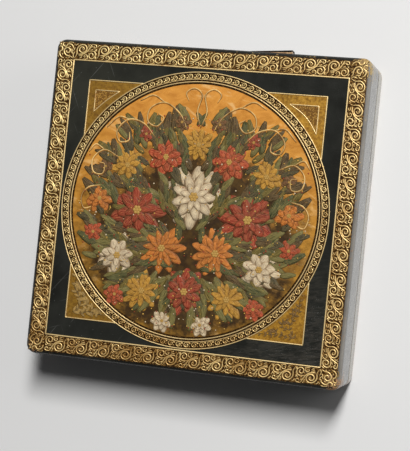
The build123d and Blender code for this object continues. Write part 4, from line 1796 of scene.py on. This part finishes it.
def stitch_places(low, high):
    """Places of the stitches along all four sides of a pad, as x, y, z, turn and size."""
    places = []
    for axis in (0, 1):
        length = high[axis] - low[axis] - 2 * STITCH_INSET
        count = int(length / STITCH_PITCH)
        for edge in (low[1 - axis] + STITCH_INSET, high[1 - axis] - STITCH_INSET):
            for index in range(count):
                along = low[axis] + STITCH_INSET + length * (index + 0.5) / count
                x, y = (along, edge) if axis == 0 else (edge, along)
                height = low.z + pad_fill(low, high, x, y) - 0.04 * MM
                places.append((x, y, height, axis * math.pi / 2, 1.0))
    return places


def cushion(name, node, underside_down, body):
    """A crowned silk pad in the place of a flat one, with a line of stitches near its edge."""
    low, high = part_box(node)
    columns = pad_lines(low.x, high.x)
    rows = pad_lines(low.y, high.y)
    foot, upward = (low.z, 1) if underside_down else (high.z, -1)
    vertices = [Vector((x, y, foot + upward * pad_fill(low, high, x, y))) for x in columns for y in rows]
    vertices += [Vector((x, y, foot)) for x in columns for y in rows]
    shape = Shape()
    shape.add(vertices, sheet_faces(len(columns) - 1, len(rows) - 1))
    mesh = shape.mesh(name)
    outward(mesh, 0.002 * MM)
    obj = piece(name, mesh, "woven_silk", body, (node,))
    stitch = motif_mesh("stitch", ((((-0.75, 0.0), (0.0, 0.0), (0.75, 0.0)), 0.42),), (), 0.2, 3)
    thread = repeated(name + "_stitches", stitch, stitch_places(low, high), "silk_thread", 0.15, 13)
    if not underside_down:
        for vertex in thread.vertices:
            vertex.co.z = low.z + high.z - vertex.co.z
        outward(thread)
    piece(name + "_stitches", thread, "silk_thread", body)


class BOX_OT_cushions(bpy.types.Operator):
    """Padded silk on the floor of the base and inside the lid"""
    bl_idname = "leather_box.cushions"
    bl_label = "Cushions"

    def execute(self, context):
        cushion("floor_cushion", "base_floor_pad", True, "base")
        cushion("ceiling_cushion", "lid_ceiling_pad", False, "lid")
        return {"FINISHED"}


# Wood and brass

class BOX_OT_case(bpy.types.Operator):
    """Wooden walls, top and bottom"""
    bl_idname = "leather_box.case"
    bl_label = "Wooden case"

    def execute(self, context):
        dress("base_bottom_board", "planed_wood")
        dress("lid_top_board", "planed_wood")
        for side in SIDES:
            dress("base_%s_wall" % side, "planed_wood")
            dress("lid_%s_wall" % side, "planed_wood")
        return {"FINISHED"}


def loose_parts(mesh):
    """The vertex places of each separate solid in a mesh."""
    form = bmesh.new()
    form.from_mesh(mesh)
    left = set(form.verts)
    parts = []
    while left:
        group = {left.pop()}
        front = set(group)
        while front:
            front = {edge.other_vert(v) for v in front for edge in v.link_edges} & left
            left -= front
            group |= front
        parts.append([vertex.co.copy() for vertex in group])
    form.free()
    return parts


def screw_heads(mesh, heads_up):
    """The middle of the top of each screw, from left to right."""
    heads = []
    for places in loose_parts(mesh):
        x = (min(place.x for place in places) + max(place.x for place in places)) / 2
        heights = [place.z for place in places]
        z = max(heights) if heads_up else min(heights)
        rim = [place.y for place in places if abs(place.z - z) < 0.6 * MM]
        heads.append(Vector((x, (min(rim) + max(rim)) / 2, z)))
    return sorted(heads, key=lambda head: head.x)


# Length, width and depth of the slot in a screw's head
SLOT = (3.6 * MM, 0.4 * MM, 0.4 * MM)


def slotted_screws(node, body, heads_up):
    """The screws of one node, each with a slot filed across its head at its own angle."""
    source = frame["nodes"][node]
    mesh = source.data.copy()
    mesh.transform(source.matrix_world)
    outward(mesh, 0.001 * MM)
    length, width, depth = SLOT
    slots = Shape()
    chance = random.Random(4)
    for head in screw_heads(mesh, heads_up):
        slots.add(*block(length, width, -depth, depth, head, chance.uniform(0.2, 2.9)))
    cutter = slots.mesh(node + "_slots")
    outward(cutter)
    mesh = cut_away(mesh, cutter)
    piece("slotted_" + node, mesh, "aged_brass", body, (node,), smooth=False)


class BOX_OT_hinges(bpy.types.Operator):
    """Brass hinges, pins and screws"""
    bl_idname = "leather_box.hinges"
    bl_label = "Hinges"

    def execute(self, context):
        for side in ("left", "right"):
            for part in ("base_leaf", "lid_leaf", "pin"):
                dress("%s_hinge_%s" % (side, part), "aged_brass")
        slotted_screws("base_hinge_screws", "base", True)
        slotted_screws("lid_hinge_screws", "lid", False)
        return {"FINISHED"}


# Stage

def area_light(name, place, target, width, height, power):
    """Large soft light turned towards a point."""
    light = bpy.data.lights.new(name, "AREA")
    light.shape = "RECTANGLE"
    light.size = width
    light.size_y = height
    light.energy = power
    obj = linked(name, light)
    obj.location = place
    obj.rotation_euler = (Vector(target) - Vector(place)).to_track_quat("-Z", "Y").to_euler()


def add_floor():
    """Wide pale floor just under the box."""
    half = 6.0
    low = -0.2 * MM
    corners = [(-half, -half, low), (half, -half, low), (half, half, low), (-half, half, low)]
    mesh = bpy.data.meshes.new("floor")
    mesh.from_pydata(corners, [], [(0, 1, 2, 3)])
    mesh.materials.append(finish_named("floor_paper"))
    linked("floor", mesh)


def add_sky(scene, strength):
    """Faint, slightly cool light from all round."""
    world = bpy.data.worlds.new("studio")
    world.use_nodes = True
    background = world.node_tree.nodes["Background"]
    background.inputs["Color"].default_value = (0.97, 0.985, 1.0, 1.0)
    background.inputs["Strength"].default_value = strength
    scene.world = world


# Camera fitted to the photograph: its place, and the directions of its right side, its top and its back
CAMERA_PLACE = (0.2274, -0.0244, 0.8652)
CAMERA_AXES = ((0.96147, 0.10221, -0.2552), (-0.09461, 0.99463, 0.04192), (0.25812, -0.01616, 0.96598))
FOCAL_LENGTH = 111.79


def add_camera(scene):
    """The camera that the photograph was taken from."""
    camera = bpy.data.cameras.new("camera")
    camera.sensor_fit = "VERTICAL"
    camera.sensor_height = 36.0
    camera.lens = FOCAL_LENGTH
    camera.clip_start = 0.05
    camera.clip_end = 20.0
    eye = linked("camera", camera)
    eye.matrix_world = Matrix.Translation(CAMERA_PLACE) @ Matrix(CAMERA_AXES).transposed().to_4x4()
    scene.camera = eye


# Power of the side light as a share of the key light's
SIDE_SHARE = 0.045


class BOX_OT_stage(bpy.types.Operator):
    """Pale floor, soft light and the camera"""
    bl_idname = "leather_box.stage"
    bl_label = "Stage"

    def execute(self, context):
        stage = context.scene.box_stage
        add_floor()
        add_sky(context.scene, stage.sky)
        area_light("key_light", (0.42, 1.10, 2.04), (0, 0, 0), 0.4, 0.9, stage.key)
        area_light("side_light", (1.25, 0.50, 0.70), (0.1, 0, 0), 0.8, 0.8, SIDE_SHARE * stage.key)
        add_camera(context.scene)
        context.scene.view_settings.view_transform = "Standard"
        return {"FINISHED"}


# Add-on

OPERATORS = (
    BOX_OT_stage,
    BOX_OT_lid_leather,
    BOX_OT_base_leather,
    BOX_OT_scroll_border,
    BOX_OT_ring,
    BOX_OT_gilt_lines,
    BOX_OT_corner_panels,
    BOX_OT_picture_ground,
    BOX_OT_flowers,
    BOX_OT_torn_strip,
    BOX_OT_linings,
    BOX_OT_cushions,
    BOX_OT_case,
    BOX_OT_hinges,
)


class BOX_PT_panel(bpy.types.Panel):
    """Lists the pieces of the box and the values that change them"""
    bl_idname = "BOX_PT_panel"
    bl_label = "Leather Box"
    bl_space_type = "VIEW_3D"
    bl_region_type = "UI"
    bl_category = "Leather Box"

    def draw(self, context):
        for group in SETTINGS:
            owner = getattr(context.scene, group)
            box = self.layout.box()
            for key in SETTINGS[group].__annotations__:
                box.prop(owner, key)
        for operator in OPERATORS:
            self.layout.operator(operator.bl_idname)


SETTINGS = {
    "box_leather": LeatherSettings,
    "box_gilt": GiltSettings,
    "box_picture": PictureSettings,
    "box_lining": LiningSettings,
    "box_stage": StageSettings,
}


def register():
    for group in SETTINGS.values():
        bpy.utils.register_class(group)
    for name, group in SETTINGS.items():
        setattr(bpy.types.Scene, name, bpy.props.PointerProperty(type=group))
    for operator in OPERATORS:
        bpy.utils.register_class(operator)
    bpy.utils.register_class(BOX_PT_panel)


def unregister():
    bpy.utils.unregister_class(BOX_PT_panel)
    for operator in reversed(OPERATORS):
        bpy.utils.unregister_class(operator)
    for name in SETTINGS:
        delattr(bpy.types.Scene, name)
    for group in reversed(SETTINGS.values()):
        bpy.utils.unregister_class(group)


def main():
    """Makes every piece in order."""
    register()
    for operator in OPERATORS:
        group, name = operator.bl_idname.split(".")
        getattr(getattr(bpy.ops, group), name)()


if __name__ == "__main__":
    main()
